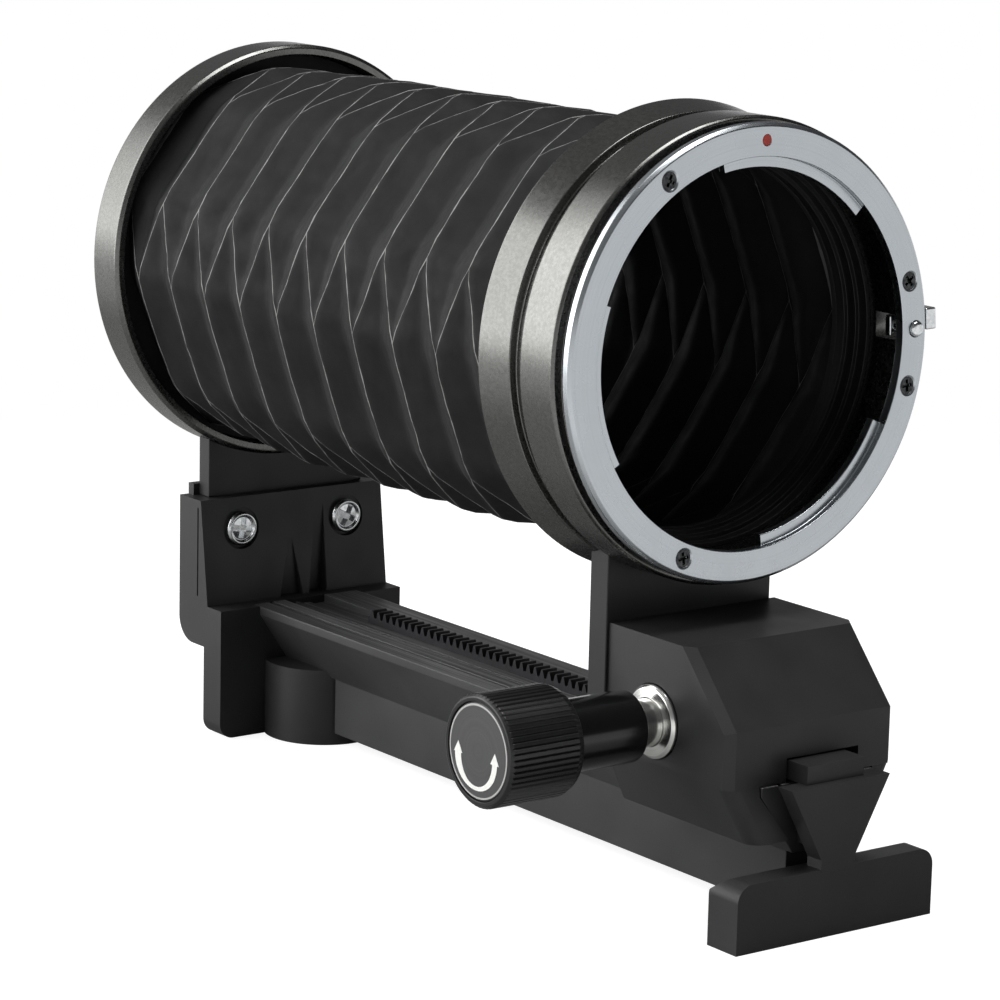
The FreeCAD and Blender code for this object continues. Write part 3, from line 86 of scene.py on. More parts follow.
# %% [markdown]
# ## Colours and nodes
# Finishes are picked as the hex values of a colour chart, which are sRGB.  A shader wants linear
# light, so one function turns each value.  A second small function adds a node, sets it and links
# it, which keeps every material and every geometry tree below short enough to read.

# %% Two helpers for every node tree
def linear(code):
    """A hex colour such as #b9bfc2 as the linear colour that a shader expects."""
    shares = [int(code[place:place + 2], 16) / 255 for place in (1, 3, 5)]
    parts = [share / 12.92 if share <= 0.04045 else ((share + 0.055) / 1.055) ** 2.4 for share in shares]
    return (*parts, 1.0)


def add_node(tree, kind, inputs=None, **settings):
    """One node: its settings, then its inputs, each a value, a socket or another node."""
    node = tree.nodes.new(kind)
    for name, value in settings.items():
        setattr(node, name, value)
    for key, value in (inputs or {}).items():
        if isinstance(value, bpy.types.Node):
            value = value.outputs[0]
        if isinstance(value, bpy.types.NodeSocket):
            tree.links.new(value, node.inputs[key])
        else:
            node.inputs[key].default_value = value
    return node


print("mid grey #808080 is", round(linear("#808080")[0], 3), "in linear light")

# %% [markdown]
# ## Floor, backdrop and light
# A product table is a pale sheet that runs up into a white wall.  Behind the object everything is
# white, and metal and glass see that too.  Above the wall's top edge the room is dim, and dimmer
# still on the camera's side: those dark parts are what gives the metal rings their contrast.  The
# function asks each ray of light what it belongs to, which the world and the floor both need.

# %% Who sees the white
def shown_white(tree, mirror_share):
    """1 for what the camera sees, mirror_share for what metal and glass see, 0 for all other light."""
    ray = add_node(tree, "ShaderNodeLightPath")
    mirrored = add_node(tree, "ShaderNodeMath",
                        {0: ray.outputs["Is Glossy Ray"], 1: ray.outputs["Is Transmission Ray"]},
                        operation="MAXIMUM")
    mirrored = add_node(tree, "ShaderNodeMath", {0: mirrored, 1: mirror_share}, operation="MULTIPLY")
    return add_node(tree, "ShaderNodeMath", {0: ray.outputs["Is Camera Ray"], 1: mirrored},
                    operation="MAXIMUM")


# %% The world
WALL_TOP = 0.08
ROOM_STARTS = 0.16
LIT_SIDE = (-0.6, -0.8, 0.0)
LIT_FROM, LIT_FULL = -0.5, 0.9

world = bpy.data.worlds.new("studio")
scene.world = world
world.use_nodes = True
tree = world.node_tree
tree.nodes.clear()
direction = add_node(tree, "ShaderNodeTexCoord")
heading = add_node(tree, "ShaderNodeSeparateXYZ", {0: direction.outputs["Generated"]})
room_share = add_node(tree, "ShaderNodeMapRange",
                      {0: heading.outputs[2], 1: WALL_TOP, 2: ROOM_STARTS, 3: 0.0, 4: 1.0})
side = add_node(tree, "ShaderNodeVectorMath", {0: direction.outputs["Generated"], 1: LIT_SIDE},
                operation="DOT_PRODUCT")
side_share = add_node(tree, "ShaderNodeMapRange", {0: side.outputs["Value"], 1: LIT_FROM, 2: LIT_FULL})
room = add_node(tree, "ShaderNodeMix", {0: side_share, 6: linear("#434345"), 7: linear("#a4a4a4")},
                data_type="RGBA")
room_light = add_node(tree, "ShaderNodeBackground", {0: room.outputs[2], 1: 1.0})
white = add_node(tree, "ShaderNodeBackground", {0: (1, 1, 1, 1), 1: 1.0})
below = add_node(tree, "ShaderNodeMath", {0: 1.0, 1: room_share}, operation="SUBTRACT")
sky = add_node(tree, "ShaderNodeMixShader", {0: shown_white(tree, below), 1: room_light, 2: white})
add_node(tree, "ShaderNodeOutputWorld", {0: sky})
print("white wall up to a sine of", WALL_TOP, "and a dim room from", ROOM_STARTS)

# %% [markdown]
# The lamps are soft boxes.  A tall one on the left draws the bright band down the side of both
# rings.  The key lamp stands on the knob's side and lights the knob's face, the housing and the
# rail.  One overhead lights the tops and slopes, and a weak one in front keeps the lens side
# from going black.  A lamp's power is worked out from the brightness that its surface should show.

# %% The soft boxes
AIM = Vector((70.0, 0.0, -20.0))


def soft_box(name, towards, distance, width, height, brightness):
    """An area lamp at a distance from the object whose face shows a given brightness."""
    lamp = bpy.data.lights.new(name, "AREA")
    lamp.shape = "RECTANGLE"
    lamp.size = width * MM
    lamp.size_y = height * MM
    lamp.energy = brightness * math.pi * lamp.size * lamp.size_y
    box = bpy.data.objects.new(name, lamp)
    heading = Vector(towards).normalized()
    turn = heading.to_track_quat("Z", "Y").to_matrix().to_4x4()
    box.matrix_world = Matrix.Translation((AIM + heading * distance) * MM) @ turn
    box.visible_camera = False
    scene.collection.objects.link(box)
    print(f"{name}: {width:.0f} x {height:.0f} mm, {lamp.energy:.2f} W")


soft_box("left_box", (-0.80, -0.46, 0.42), 700, 300, 620, 2.0)
soft_box("key_box", (-0.45, -0.84, 0.32), 650, 720, 640, 3.7)
soft_box("top_box", (0.14, 0.14, 0.98), 800, 380, 380, 10.0)
soft_box("front_box", (0.97, 0.10, 0.22), 900, 260, 260, 0.3)

# %% [markdown]
# The floor is a wide disc of pale paper.  The camera sees it white, apart from the soft shadow near
# the feet.  Metal mirrors it white too, but not close to the unit: there it mirrors the paper's own
# grey and the shadow on it, because the object stands in its own light.

# %% The floor's paper
FLOOR_HEIGHT = -76.1
SHADOW_MIDDLE, SHADOW_REACH = (70.0, 0.0), (150.0, 330.0)
MIRROR_MIDDLE, MIRROR_REACH = (-40.0, 60.0), (190.0, 330.0)
FLOOR_LIFT = 0.86


def away_from(tree, middle, reach):
    """0 near a spot on the floor and 1 far from it, going over between two distances."""
    place = add_node(tree, "ShaderNodeTexCoord")
    spot = Vector((*middle, FLOOR_HEIGHT)) * MM
    distance = add_node(tree, "ShaderNodeVectorMath", {0: place.outputs["Object"], 1: spot},
                        operation="DISTANCE")
    return add_node(tree, "ShaderNodeMapRange",
                    {0: distance.outputs["Value"], 1: reach[0] * MM, 2: reach[1] * MM},
                    interpolation_type="SMOOTHSTEP")


floor_paint = bpy.data.materials.new("pale_table")
floor_paint.use_nodes = True
tree = floor_paint.node_tree
tree.nodes.clear()
shown = shown_white(tree, away_from(tree, MIRROR_MIDDLE, MIRROR_REACH))
glow = add_node(tree, "ShaderNodeMath", {0: shown, 1: FLOOR_LIFT}, operation="MULTIPLY")
paper = add_node(tree, "ShaderNodeBsdfDiffuse", {0: linear("#a6a6a5")})
lifted = add_node(tree, "ShaderNodeEmission", {0: (1, 1, 1, 1), 1: glow})
near_table = add_node(tree, "ShaderNodeAddShader", {0: paper, 1: lifted})
far_table = add_node(tree, "ShaderNodeEmission", {0: (1, 1, 1, 1), 1: 1.0})
far_share = add_node(tree, "ShaderNodeMath", {0: away_from(tree, SHADOW_MIDDLE, SHADOW_REACH), 1: shown},
                     operation="MULTIPLY")
table = add_node(tree, "ShaderNodeMixShader", {0: far_share, 1: near_table, 2: far_table})
add_node(tree, "ShaderNodeOutputMaterial", {0: table})
print("shadow kept to", SHADOW_REACH[0], "mm round the unit")

# %% The floor's disc
FLOOR_RADIUS = 1600.0
FLOOR_SIDES = 96

disc = bmesh.new()
bmesh.ops.create_circle(disc, cap_ends=True, segments=FLOOR_SIDES, radius=FLOOR_RADIUS * MM,
                        matrix=Matrix.Translation(Vector((*SHADOW_MIDDLE, FLOOR_HEIGHT)) * MM))
floor_mesh = bpy.data.meshes.new("floor")
disc.to_mesh(floor_mesh)
disc.free()
floor_mesh.materials.append(floor_paint)
floor = bpy.data.objects.new("floor", floor_mesh)
scene.collection.objects.link(floor)
print("floor at", FLOOR_HEIGHT, "mm")

# %% [markdown]
# ## Finishes
# Each material starts from what the real surface is and how it was made.  Moulded plastic keeps
# the fine spark-eroded skin of its tool, turned metal keeps the marks of the lathe, and coated
# cloth has a grain.  Those patterns are noise at a real size, laid in the piece's own space.

# %% Patterns that several finishes share
NOISE_LOW, NOISE_HIGH = 0.3, 0.7
PATCH_SIZE = 6.0


def new_material(name, colour, **sockets):
    """A material whose shader has constant values on its own sockets."""
    material = bpy.data.materials.new(name)
    material.use_nodes = True
    shader = material.node_tree.nodes["Principled BSDF"]
    shader.inputs["Base Color"].default_value = linear(colour)
    for label, value in sockets.items():
        shader.inputs[label.replace("_", " ")].default_value = value
    return material, material.node_tree, shader


def roughen(tree, shader, where, size, low, high):
    """Let the roughness wander between two values, in patches of a size in millimetres."""
    patches = add_node(tree, "ShaderNodeTexNoise", {"Vector": where, "Scale": 1 / (size * MM), "Detail": 3.0})
    spread = add_node(tree, "ShaderNodeMapRange",
                      {0: patches, 1: NOISE_LOW, 2: NOISE_HIGH, 3: low, 4: high})
    tree.links.new(spread.outputs[0], shader.inputs["Roughness"])


def raise_grain(tree, shader, where, size, depth, detail=2.0):
    """A bumpy skin with grains of a size and a depth in millimetres."""
    grain = add_node(tree, "ShaderNodeTexNoise",
                     {"Vector": where, "Scale": 1 / (size * MM), "Detail": detail})
    skin = add_node(tree, "ShaderNodeBump", {"Strength": 1.0, "Distance": depth * MM, "Height": grain})
    tree.links.new(skin.outputs[0], shader.inputs["Normal"])
    return grain


def speckle(tree, shader, mask, low, high, dark, light):
    """Colour that goes from one hex value to another as a mask rises between two values."""
    share = add_node(tree, "ShaderNodeMapRange", {0: mask, 1: low, 2: high})
    mix = add_node(tree, "ShaderNodeMix", {0: share, 6: linear(dark), 7: linear(light)}, data_type="RGBA")
    tree.links.new(mix.outputs[2], shader.inputs["Base Color"])


def paint_over(tree, shader, share, colour):
    """Lay a hex colour over what the shader already shows, as far as a share says."""
    below = shader.inputs["Base Color"].links[0].from_socket
    mix = add_node(tree, "ShaderNodeMix", {0: share, 6: below, 7: linear(colour)}, data_type="RGBA")
    tree.links.new(mix.outputs[2], shader.inputs["Base Color"])


def around_axis(tree, centre=(0.0, 0.0, 0.0), axis="X"):
    """Coordinates of a turned piece: along its axis and out from it, so that noise draws rings."""
    where = add_node(tree, "ShaderNodeTexCoord")
    moved = add_node(tree, "ShaderNodeMapping",
                     {0: where.outputs["Object"], 1: [-part * MM for part in centre]})
    parts = add_node(tree, "ShaderNodeSeparateXYZ", {0: moved})
    along, side = ("X", "Y") if axis == "X" else ("Y", "X")
    out = add_node(tree, "ShaderNodeCombineXYZ", {0: parts.outputs[side], 1: parts.outputs["Z"]})
    radius = add_node(tree, "ShaderNodeVectorMath", {0: out}, operation="LENGTH")
    return add_node(tree, "ShaderNodeCombineXYZ", {0: parts.outputs[along], 1: radius.outputs["Value"]})


DRIVE_AXIS = (120.0, 0.0, -48.9595)

# %% [markdown]
# Black ABS is the plastic of the two feet, the rail and the carriage.  The tool that moulds it is
# spark eroded, which leaves a skin of half-millimetre grains: the sheen is satin and breaks up a
# little.  Handling polishes it in patches.

# %% Moulded black ABS
HANDLED_SIZE = 9.0
GRAIN_SIZE, GRAIN_DEPTH = 0.55, 0.006
DUST_SIZE, DUST_FROM, DUST_FULL = 14.0, 0.42, 0.72


def moulded_abs(name, dark, light, low, high):
    """Black ABS; the two colours are the plastic itself and its dustier patches."""
    material, tree, shader = new_material(name, dark, IOR=1.53, Specular_IOR_Level=0.35)
    where = add_node(tree, "ShaderNodeTexCoord").outputs["Object"]
    roughen(tree, shader, where, HANDLED_SIZE, low, high)
    raise_grain(tree, shader, where, GRAIN_SIZE, GRAIN_DEPTH)
    patches = add_node(tree, "ShaderNodeTexNoise",
                       {"Vector": where, "Scale": 1 / (DUST_SIZE * MM), "Detail": 5.0})
    speckle(tree, shader, patches, DUST_FROM, DUST_FULL, dark, light)
    return material


black_abs = moulded_abs("moulded_black_abs", "#29292a", "#2f2f30", 0.38, 0.50)
rail_abs = moulded_abs("moulded_black_abs_rail", "#353536", "#3d3d3e", 0.34, 0.46)
black_nylon = moulded_abs("moulded_black_nylon", "#1d1d20", "#26262a", 0.34, 0.46)
print("plastics:", black_abs.name, rail_abs.name, black_nylon.name)

# %% [markdown]
# The rail's top is painted paler in fine streaks that all run one way, a painted reflection of the
# pale surroundings.  The streaks are noise stretched along the rail, kept to faces that look up.

# %% Painted reflection streaks along the rail's top
STREAK_LENGTH, STREAK_WIDTH = 45.0, 0.45
STREAK_SIZE = (STREAK_LENGTH, STREAK_WIDTH, STREAK_WIDTH)
STREAK_FROM, STREAK_FULL = 0.38, 0.68
STEEPEST, LEVEL = 0.6, 0.9

tree = rail_abs.node_tree
where = add_node(tree, "ShaderNodeTexCoord")
drawn = add_node(tree, "ShaderNodeMapping",
                 {0: where.outputs["Object"], 3: [1 / (size * MM) for size in STREAK_SIZE]})
streaks = add_node(tree, "ShaderNodeTexNoise", {"Vector": drawn, "Scale": 1.0, "Detail": 3.0})
streaks = add_node(tree, "ShaderNodeMapRange", {0: streaks, 1: STREAK_FROM, 2: STREAK_FULL})
facing = add_node(tree, "ShaderNodeSeparateXYZ", {0: where.outputs["Normal"]})
facing_up = add_node(tree, "ShaderNodeMapRange", {0: facing.outputs[2], 1: STEEPEST, 2: LEVEL})
# painted reflection: pale streaks on the rail's up-facing faces
painted_reflection = add_node(tree, "ShaderNodeMath", {0: streaks, 1: facing_up}, operation="MULTIPLY")
paint_over(tree, tree.nodes["Principled BSDF"], painted_reflection, "#7c7c7d")
print("streaks", STREAK_LENGTH, "mm long and", STREAK_WIDTH, "mm wide")

# %% [markdown]
# The upright plates are bent from sheet and sprayed black.  Spray paint is smoother than the
# moulded skin but has a faint orange peel about a millimetre across.

# %% Black paint on sheet metal
PEEL_SIZE, PEEL_DEPTH = 1.1, 0.005

painted_metal, tree, shader = new_material("satin_black_paint", "#2b2b2c", IOR=1.5, Specular_IOR_Level=0.3)
where = add_node(tree, "ShaderNodeTexCoord").outputs["Object"]
roughen(tree, shader, where, PATCH_SIZE, 0.34, 0.44)
raise_grain(tree, shader, where, PEEL_SIZE, PEEL_DEPTH)
print("paint:", painted_metal.name)

# %% [markdown]
# The lens mount, the knob and the spindle come from a lathe, whose tool leaves rings of tiny marks.
# They are drawn a quarter of a millimetre apart, because the real ones are too fine to show.

# %% Turned metal, anodised, plated or bare
def turned_metal(name, dark, light, low, high, marks=0.25, depth=0.001, centre=(0, 0, 0), axis="X",
                 metallic=1.0):
    """Metal from the lathe: rings of tiny marks, colour that varies a little from ring to ring."""
    material, tree, shader = new_material(name, dark, Metallic=metallic)
    rings = around_axis(tree, centre, axis)
    lathe_marks = raise_grain(tree, shader, rings, marks, depth)
    speckle(tree, shader, lathe_marks, NOISE_LOW, NOISE_HIGH, dark, light)
    where = add_node(tree, "ShaderNodeTexCoord").outputs["Object"]
    roughen(tree, shader, where, PATCH_SIZE, low, high)
    return material


flat_black = turned_metal("matt_black_anodised_aluminium", "#1a1a1b", "#232324", 0.42, 0.55, metallic=0.4)
satin_chrome = turned_metal("satin_chrome", "#aeb3b7", "#b3b8bc", 0.24, 0.30, depth=0.0002)
bright_steel = turned_metal("turned_bright_steel", "#cfcfcc", "#dededb", 0.14, 0.24, marks=0.2, depth=0.004,
                            centre=DRIVE_AXIS, axis="Y")
brass = turned_metal("machined_brass", "#b8934a", "#cda862", 0.22, 0.34, centre=DRIVE_AXIS, axis="Y")
knob_metal = turned_metal("black_anodised_aluminium", "#202021", "#262627", 0.28, 0.36, centre=DRIVE_AXIS,
                          axis="Y", metallic=0.35)
face_metal = turned_metal("dark_grey_knob_face", "#424243", "#484849", 0.42, 0.50, marks=0.35, depth=0.002,
                          centre=DRIVE_AXIS, axis="Y", metallic=0.25)
sleeve_metal = turned_metal("polished_black_sleeve", "#151516", "#19191a", 0.14, 0.20, depth=0.0005,
                            centre=DRIVE_AXIS, axis="Y", metallic=0.2)
turned_metals = (flat_black, satin_chrome, bright_steel, brass, knob_metal, face_metal, sleeve_metal)
print("turned metals:", [item.name for item in turned_metals])

# %% [markdown]
# A thin pale ring is painted on the knob's face, a painted highlight where the edge of the face disc
# catches the light.  A ring on a turned part is simply every point at one distance from the axis.

# %% The painted highlight ring on the knob's face
GLINT_RADIUS, GLINT_WIDTH = 6.25, 0.16

tree = face_metal.node_tree
rings = around_axis(tree, DRIVE_AXIS, "Y")
radius = add_node(tree, "ShaderNodeSeparateXYZ", {0: rings}).outputs["Y"]
away = add_node(tree, "ShaderNodeMath", {0: radius, 1: GLINT_RADIUS * MM}, operation="SUBTRACT")
away = add_node(tree, "ShaderNodeMath", {0: away}, operation="ABSOLUTE")
# painted highlight: a pale ring near the edge of the knob's face disc
painted_glint_share = add_node(tree, "ShaderNodeMapRange",
                     {0: away, 1: GLINT_WIDTH / 2 * MM, 2: GLINT_WIDTH * MM, 3: 1.0, 4: 0.0})
paint_over(tree, tree.nodes["Principled BSDF"], painted_glint_share, "#b4b4b2")
print("line", GLINT_WIDTH, "mm wide at", GLINT_RADIUS, "mm from the axis")

# %% [markdown]
# The two big rings are aluminium, turned, blasted with fine beads and anodised dark.  The oxide
# dims the metal but it still mirrors the room softly, so a lit wall gives a bright grey band and
# the ceiling a dark one, with the grain of the blasting between them.  Screws and clips are steel,
# tumbled and plated with bright nickel, with only a slight unevenness.  The countersunk ones in the
# lens mount are blackened.  The index mark is a drop of red enamel, the arrow white printing ink.

# %% Blasted rings, plated steel, enamel and ink
MOTTLE_SIZE, MOTTLE_FROM, MOTTLE_FULL = 0.7, 0.35, 0.65


def tumbled(name, dark, light, low, high, metallic=1.0, size=0.5, depth=0.010):
    """A blasted, tumbled or sprayed part: patches a few tenths of a millimetre across."""
    material, tree, shader = new_material(name, dark, Metallic=metallic)
    where = add_node(tree, "ShaderNodeTexCoord").outputs["Object"]
    patches = raise_grain(tree, shader, where, size, depth)
    speckle(tree, shader, patches, MOTTLE_FROM, MOTTLE_FULL, dark, light)
    roughen(tree, shader, where, MOTTLE_SIZE, low, high)
    return material


ring_metal = tumbled("blasted_anodised_aluminium", "#626260", "#6a6a68", 0.24, 0.31, size=0.45, depth=0.003)
nickel = tumbled("nickel_plated_steel", "#c3c6c8", "#d8dadb", 0.14, 0.26)
blackened = tumbled("blackened_steel", "#2c2d2e", "#48494a", 0.20, 0.32)
red_enamel = tumbled("red_enamel", "#c42a1a", "#d63a26", 0.25, 0.35, metallic=0.0)
white_ink = tumbled("white_printing_ink", "#e8e8e4", "#f2f2ee", 0.45, 0.55, metallic=0.0)
print("small parts:", ring_metal.name, nickel.name, blackened.name, red_enamel.name, white_ink.name)

# %% [markdown]
# The bellows is cloth coated with matt black leatherette.  The grain is a little finer than a
# millimetre.  Wherever a fold stands out the coating is rubbed grey, so the colour follows an
# attribute of the mesh that is 0 on a ridge and 1 in a valley: the line stays on its fold when the
# bellows closes.

# %% Coated bellows cloth
RIDGE_LINE = (0.026, 0.046)
WOBBLE_SIZE, WOBBLE = 2.4, 0.045
WEAVE_SIZE, WEAVE_DEPTH = 0.7, 0.03
BLOTCH_SIZE, BLOTCH_FROM, BLOTCH_FULL = 11.0, 0.35, 0.7
CREASED_SIZE = 3.0

bellows_cloth, tree, shader = new_material("black_leatherette", "#1c1c1d", IOR=1.45,
                                           Specular_IOR_Level=0.28)
where = add_node(tree, "ShaderNodeTexCoord").outputs["Object"]
raise_grain(tree, shader, where, WEAVE_SIZE, WEAVE_DEPTH, detail=4.0)
fold = add_node(tree, "ShaderNodeAttribute", attribute_name="fold")
wobble = add_node(tree, "ShaderNodeTexNoise",
                  {"Vector": where, "Scale": 1 / (WOBBLE_SIZE * MM), "Detail": 2.0})
edge = add_node(tree, "ShaderNodeMath", {0: wobble, 1: WOBBLE}, operation="MULTIPLY")
rub = add_node(tree, "ShaderNodeMath", {0: fold.outputs["Fac"], 1: edge}, operation="ADD")
line = add_node(tree, "ShaderNodeMapRange", {0: rub, 1: RIDGE_LINE[0], 2: RIDGE_LINE[1], 3: 1.0, 4: 0.0})
blotches = add_node(tree, "ShaderNodeTexNoise",
                    {"Vector": where, "Scale": 1 / (BLOTCH_SIZE * MM), "Detail": 6.0})
speckle(tree, shader, blotches, BLOTCH_FROM, BLOTCH_FULL, "#171718", "#1e1e1f")
paint_over(tree, shader, line, "#8c8c8a")
roughen(tree, shader, where, CREASED_SIZE, 0.62, 0.78)
card = moulded_abs("black_laminated_card", "#151516", "#1b1b1c", 0.6, 0.75)
print("bellows:", bellows_cloth.name, card.name)

# %% [markdown]
# ## Making pieces
# A turned part is drawn as the maker draws it: half its section, spun about the axis.  Sharp
# corners catch no light, so every corner is rounded first, with a short straight stretch beside
# it that keeps the long faces flat in the shading.

# %% From a half section to a turned solid
ARC_STEPS = 3
HOLD = 0.05
ON_AXIS = 0.01
CUT_SHARE, HOLD_SHARE = 0.4, 0.08
TURN_STEPS = 160
SHARP = 35


def softened(corners, size):
    """The outline again with each corner replaced by a small arc; corners on the axis stay."""
    points = []
    count = len(corners)
    for index, corner in enumerate(corners):
        here = Vector(corner)
        before = Vector(corners[index - 1]) - here
        after = Vector(corners[(index + 1) % count]) - here
        shorter = min(before.length, after.length)
        cut = min(size, shorter * CUT_SHARE)
        hold = min(HOLD, shorter * HOLD_SHARE)
        if here.y < HOLD or cut < ON_AXIS:
            points.append(here)
            continue
        start, end = before.normalized(), after.normalized()
        points.append(here + start * (cut + hold))
        for step in range(ARC_STEPS + 1):
            share = step / ARC_STEPS
            points.append(here + start * cut * (1 - share) ** 2 + end * cut * share ** 2)
        points.append(here + end * (cut + hold))
    return points


def add_turned(solid, corners, steps=TURN_STEPS, size=0.15, place=None):
    """Spin a closed half section of (along, radius) corners about X into a bmesh."""
    rings = []
    for along, radius in softened(corners, size):
        if radius < ON_AXIS:
            rings.append([solid.verts.new((along, 0, 0))] * steps)
            continue
        angles = [2 * math.pi * step / steps for step in range(steps)]
        rings.append([solid.verts.new((along, radius * math.cos(a), radius * math.sin(a))) for a in angles])
    faces = []
    for this, following in zip(rings, rings[1:] + rings[:1]):
        for step in range(steps):
            after = (step + 1) % steps
            loop = list(dict.fromkeys((this[step], this[after], following[after], following[step])))
            if len(loop) > 2:
                faces.append(solid.faces.new(loop))
    bmesh.ops.recalc_face_normals(solid, faces=faces)
    if place:
        corners_made = list({vert for face in faces for vert in face.verts})
        bmesh.ops.transform(solid, matrix=place, verts=corners_made)


def as_mesh(name, solid):
    """A bmesh as a mesh, still in millimetres."""
    mesh = bpy.data.meshes.new(name)
    solid.to_mesh(mesh)
    solid.free()
    return mesh


def to_metres(mesh, sharp=SHARP):
    """Scale a mesh from millimetres, and shade it soft except over edges sharper than an angle."""
    mesh.transform(Matrix.Scale(MM, 4))
    mesh.shade_smooth()
    mesh.set_sharp_from_angle(angle=math.radians(sharp))
    return mesh


def turned_blank(name, corners, **settings):
    """One turned solid as a mesh that is still in millimetres."""
    solid = bmesh.new()
    add_turned(solid, corners, **settings)
    return as_mesh(name, solid)


def turned(name, corners, **settings):
    """One turned solid as a finished mesh."""
    return to_metres(turned_blank(name, corners, **settings))


DRIVE_PLACE = Matrix.Translation(DRIVE_AXIS) @ Matrix.Rotation(math.radians(90), 4, "Z")

# %% [markdown]
# Moulded and bent parts keep the construction's own outline.  Their mesh is copied, its loose
# triangles are merged into whole faces, and a bevel rounds every edge by a few tenths of a
# millimetre as the tool or the paint does.  Where the finished part differs a little, a small
# function moves those corners of the copy first.  The construction's mesh itself is never touched.

# %% From a node of the construction to a piece with rounded edges
MERGE = 0.002
FLAT_ANGLE, EDGE_ANGLE = 0.6, 25
EDGE_STEPS = 3


def applied(mesh, kind, **settings):
    """The mesh after one modifier, as a plain mesh."""
    carrier = bpy.data.objects.new(mesh.name, mesh)
    scene.collection.objects.link(carrier)
    modifier = carrier.modifiers.new(kind, kind)
    for name, value in settings.items():
        setattr(modifier, name, value)
    view = bpy.context.evaluated_depsgraph_get()
    result = bpy.data.meshes.new_from_object(carrier.evaluated_get(view), depsgraph=view)
    bpy.data.objects.remove(carrier)
    return result


def merged(node, fitted=None):
    """A copy of a node's mesh in flat faces; fitted may move its corners, in millimetres."""
    solid = bmesh.new()
    solid.from_mesh(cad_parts[node].data)
    for round_made in range(2 if fitted else 1):
        if round_made:
            for vert in solid.verts:
                vert.co = fitted(vert.co / MM) * MM
        bmesh.ops.remove_doubles(solid, verts=solid.verts, dist=MERGE * MM)
        bmesh.ops.dissolve_limit(solid, angle_limit=math.radians(FLAT_ANGLE), verts=solid.verts,
                                 edges=solid.edges)
    mesh = bpy.data.meshes.new(node)
    solid.to_mesh(mesh)
    solid.free()
    mesh.shade_smooth()
    return mesh


def rounded(node, size, fitted=None):
    """A merged copy with every real edge rounded by a size in millimetres and its faces flat."""
    mesh = applied(merged(node, fitted), "BEVEL", width=size * MM, segments=EDGE_STEPS,
                   limit_method="ANGLE", angle_limit=math.radians(EDGE_ANGLE), harden_normals=True,
                   miter_outer="MITER_ARC")
    return applied(mesh, "WEIGHTED_NORMAL", weight=100, keep_sharp=True)


def add_piece(name, mesh, material, body, slot, *nodes):
    """A finished mesh as a piece that moves with a body and stands for nodes of the frame."""
    mesh.materials.clear()
    mesh.materials.append(material)
    piece = bpy.data.objects.new(name, mesh)
    scene.collection.objects.link(piece)
    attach(piece, body)
    if nodes:
        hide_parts(*nodes)
    print(f"{name}: {len(mesh.polygons)} faces on {body}")
    return piece


def add_rounded(name, node, size, material, body, slot, fitted=None):
    """A piece that is a node's own form with its edges rounded."""
    return add_piece(name, rounded(node, size, fitted), material, body, slot, node)


# %% [markdown]
# ## Growing pieces with geometry nodes
# What repeats, or follows a rule, is grown by a geometry tree with named inputs.  The tree runs
# as a modifier on a carrier that holds only a few points; its result is kept as a plain mesh and
# the carrier goes.

# %% Helpers for geometry trees
def new_tree(name, **inputs):
    """An empty geometry tree; returns it with the outputs of its input node."""
    tree = bpy.data.node_groups.new(name, "GeometryNodeTree")
    tree.interface.new_socket("Geometry", in_out="INPUT", socket_type="NodeSocketGeometry")
    for label, kind in inputs.items():
        tree.interface.new_socket(label, in_out="INPUT", socket_type=f"NodeSocket{kind}")
    tree.interface.new_socket("Geometry", in_out="OUTPUT", socket_type="NodeSocketGeometry")
    return tree, tree.nodes.new("NodeGroupInput").outputs


def grow(mesh, tree, values, sharp=SHARP):
    """Run a tree on a carrier with the given mesh and keep what it makes; all in millimetres."""
    carrier = bpy.data.objects.new(mesh.name, mesh)
    scene.collection.objects.link(carrier)
    modifier = carrier.modifiers.new(mesh.name, "NODES")
    modifier.node_group = tree
    for item in tree.interface.items_tree:
        if item.in_out == "INPUT" and item.name in values:
            modifier[item.identifier] = values[item.name]
    view = bpy.context.evaluated_depsgraph_get()
    result = bpy.data.meshes.new_from_object(carrier.evaluated_get(view), depsgraph=view)
    bpy.data.objects.remove(carrier)
    return to_metres(result, sharp)


def seeds(name, points=((0, 0, 0),)):
    """A carrier mesh of loose points."""
    mesh = bpy.data.meshes.new(name)
    mesh.from_pydata([Vector(point) for point in points], [], [])
    return mesh


def seal(tree, geometry, material):
    """The last nodes of every tree: real geometry in the given material."""
    real = add_node(tree, "GeometryNodeRealizeInstances", {0: geometry})
    dressed = add_node(tree, "GeometryNodeSetMaterial", {0: real, "Material": material})
    add_node(tree, "NodeGroupOutput", {0: dressed})


# %% [markdown]
# ## The pleated bellows
# The bellows is folded from one tube of coated cloth stiffened with card.  Six flat panels run
# along it, and each is creased every half pleat, ridge and valley in turn.  Neighbouring panels
# are half a pleat out of step, so between them the cloth folds along the diagonals that join one
# panel's ridge to the next.  That is a rule, so a geometry tree can fold it: start from a flat
# grid with one row for each crease and two columns for each panel, send every point to its ridge
# or its valley, cut each cell along its longer diagonal, which is the ridge, and only then divide
# the facets and let the cloth soften and crumple.

# %% The tree that folds the cloth
PLEATS = 10
PANELS = 6
BELLOWS_START, BELLOWS_END = 3.5, 106.25
FIRST_RIDGE, LAST_RIDGE = 4.15, 102.65
RIDGE_RADIUS = 30.3
FOLD_DEPTH = 2.2
PANEL_SPAN = 36.0
FIRST_PANEL_ANGLE = 124.0
CLOTH_WALL = 0.7

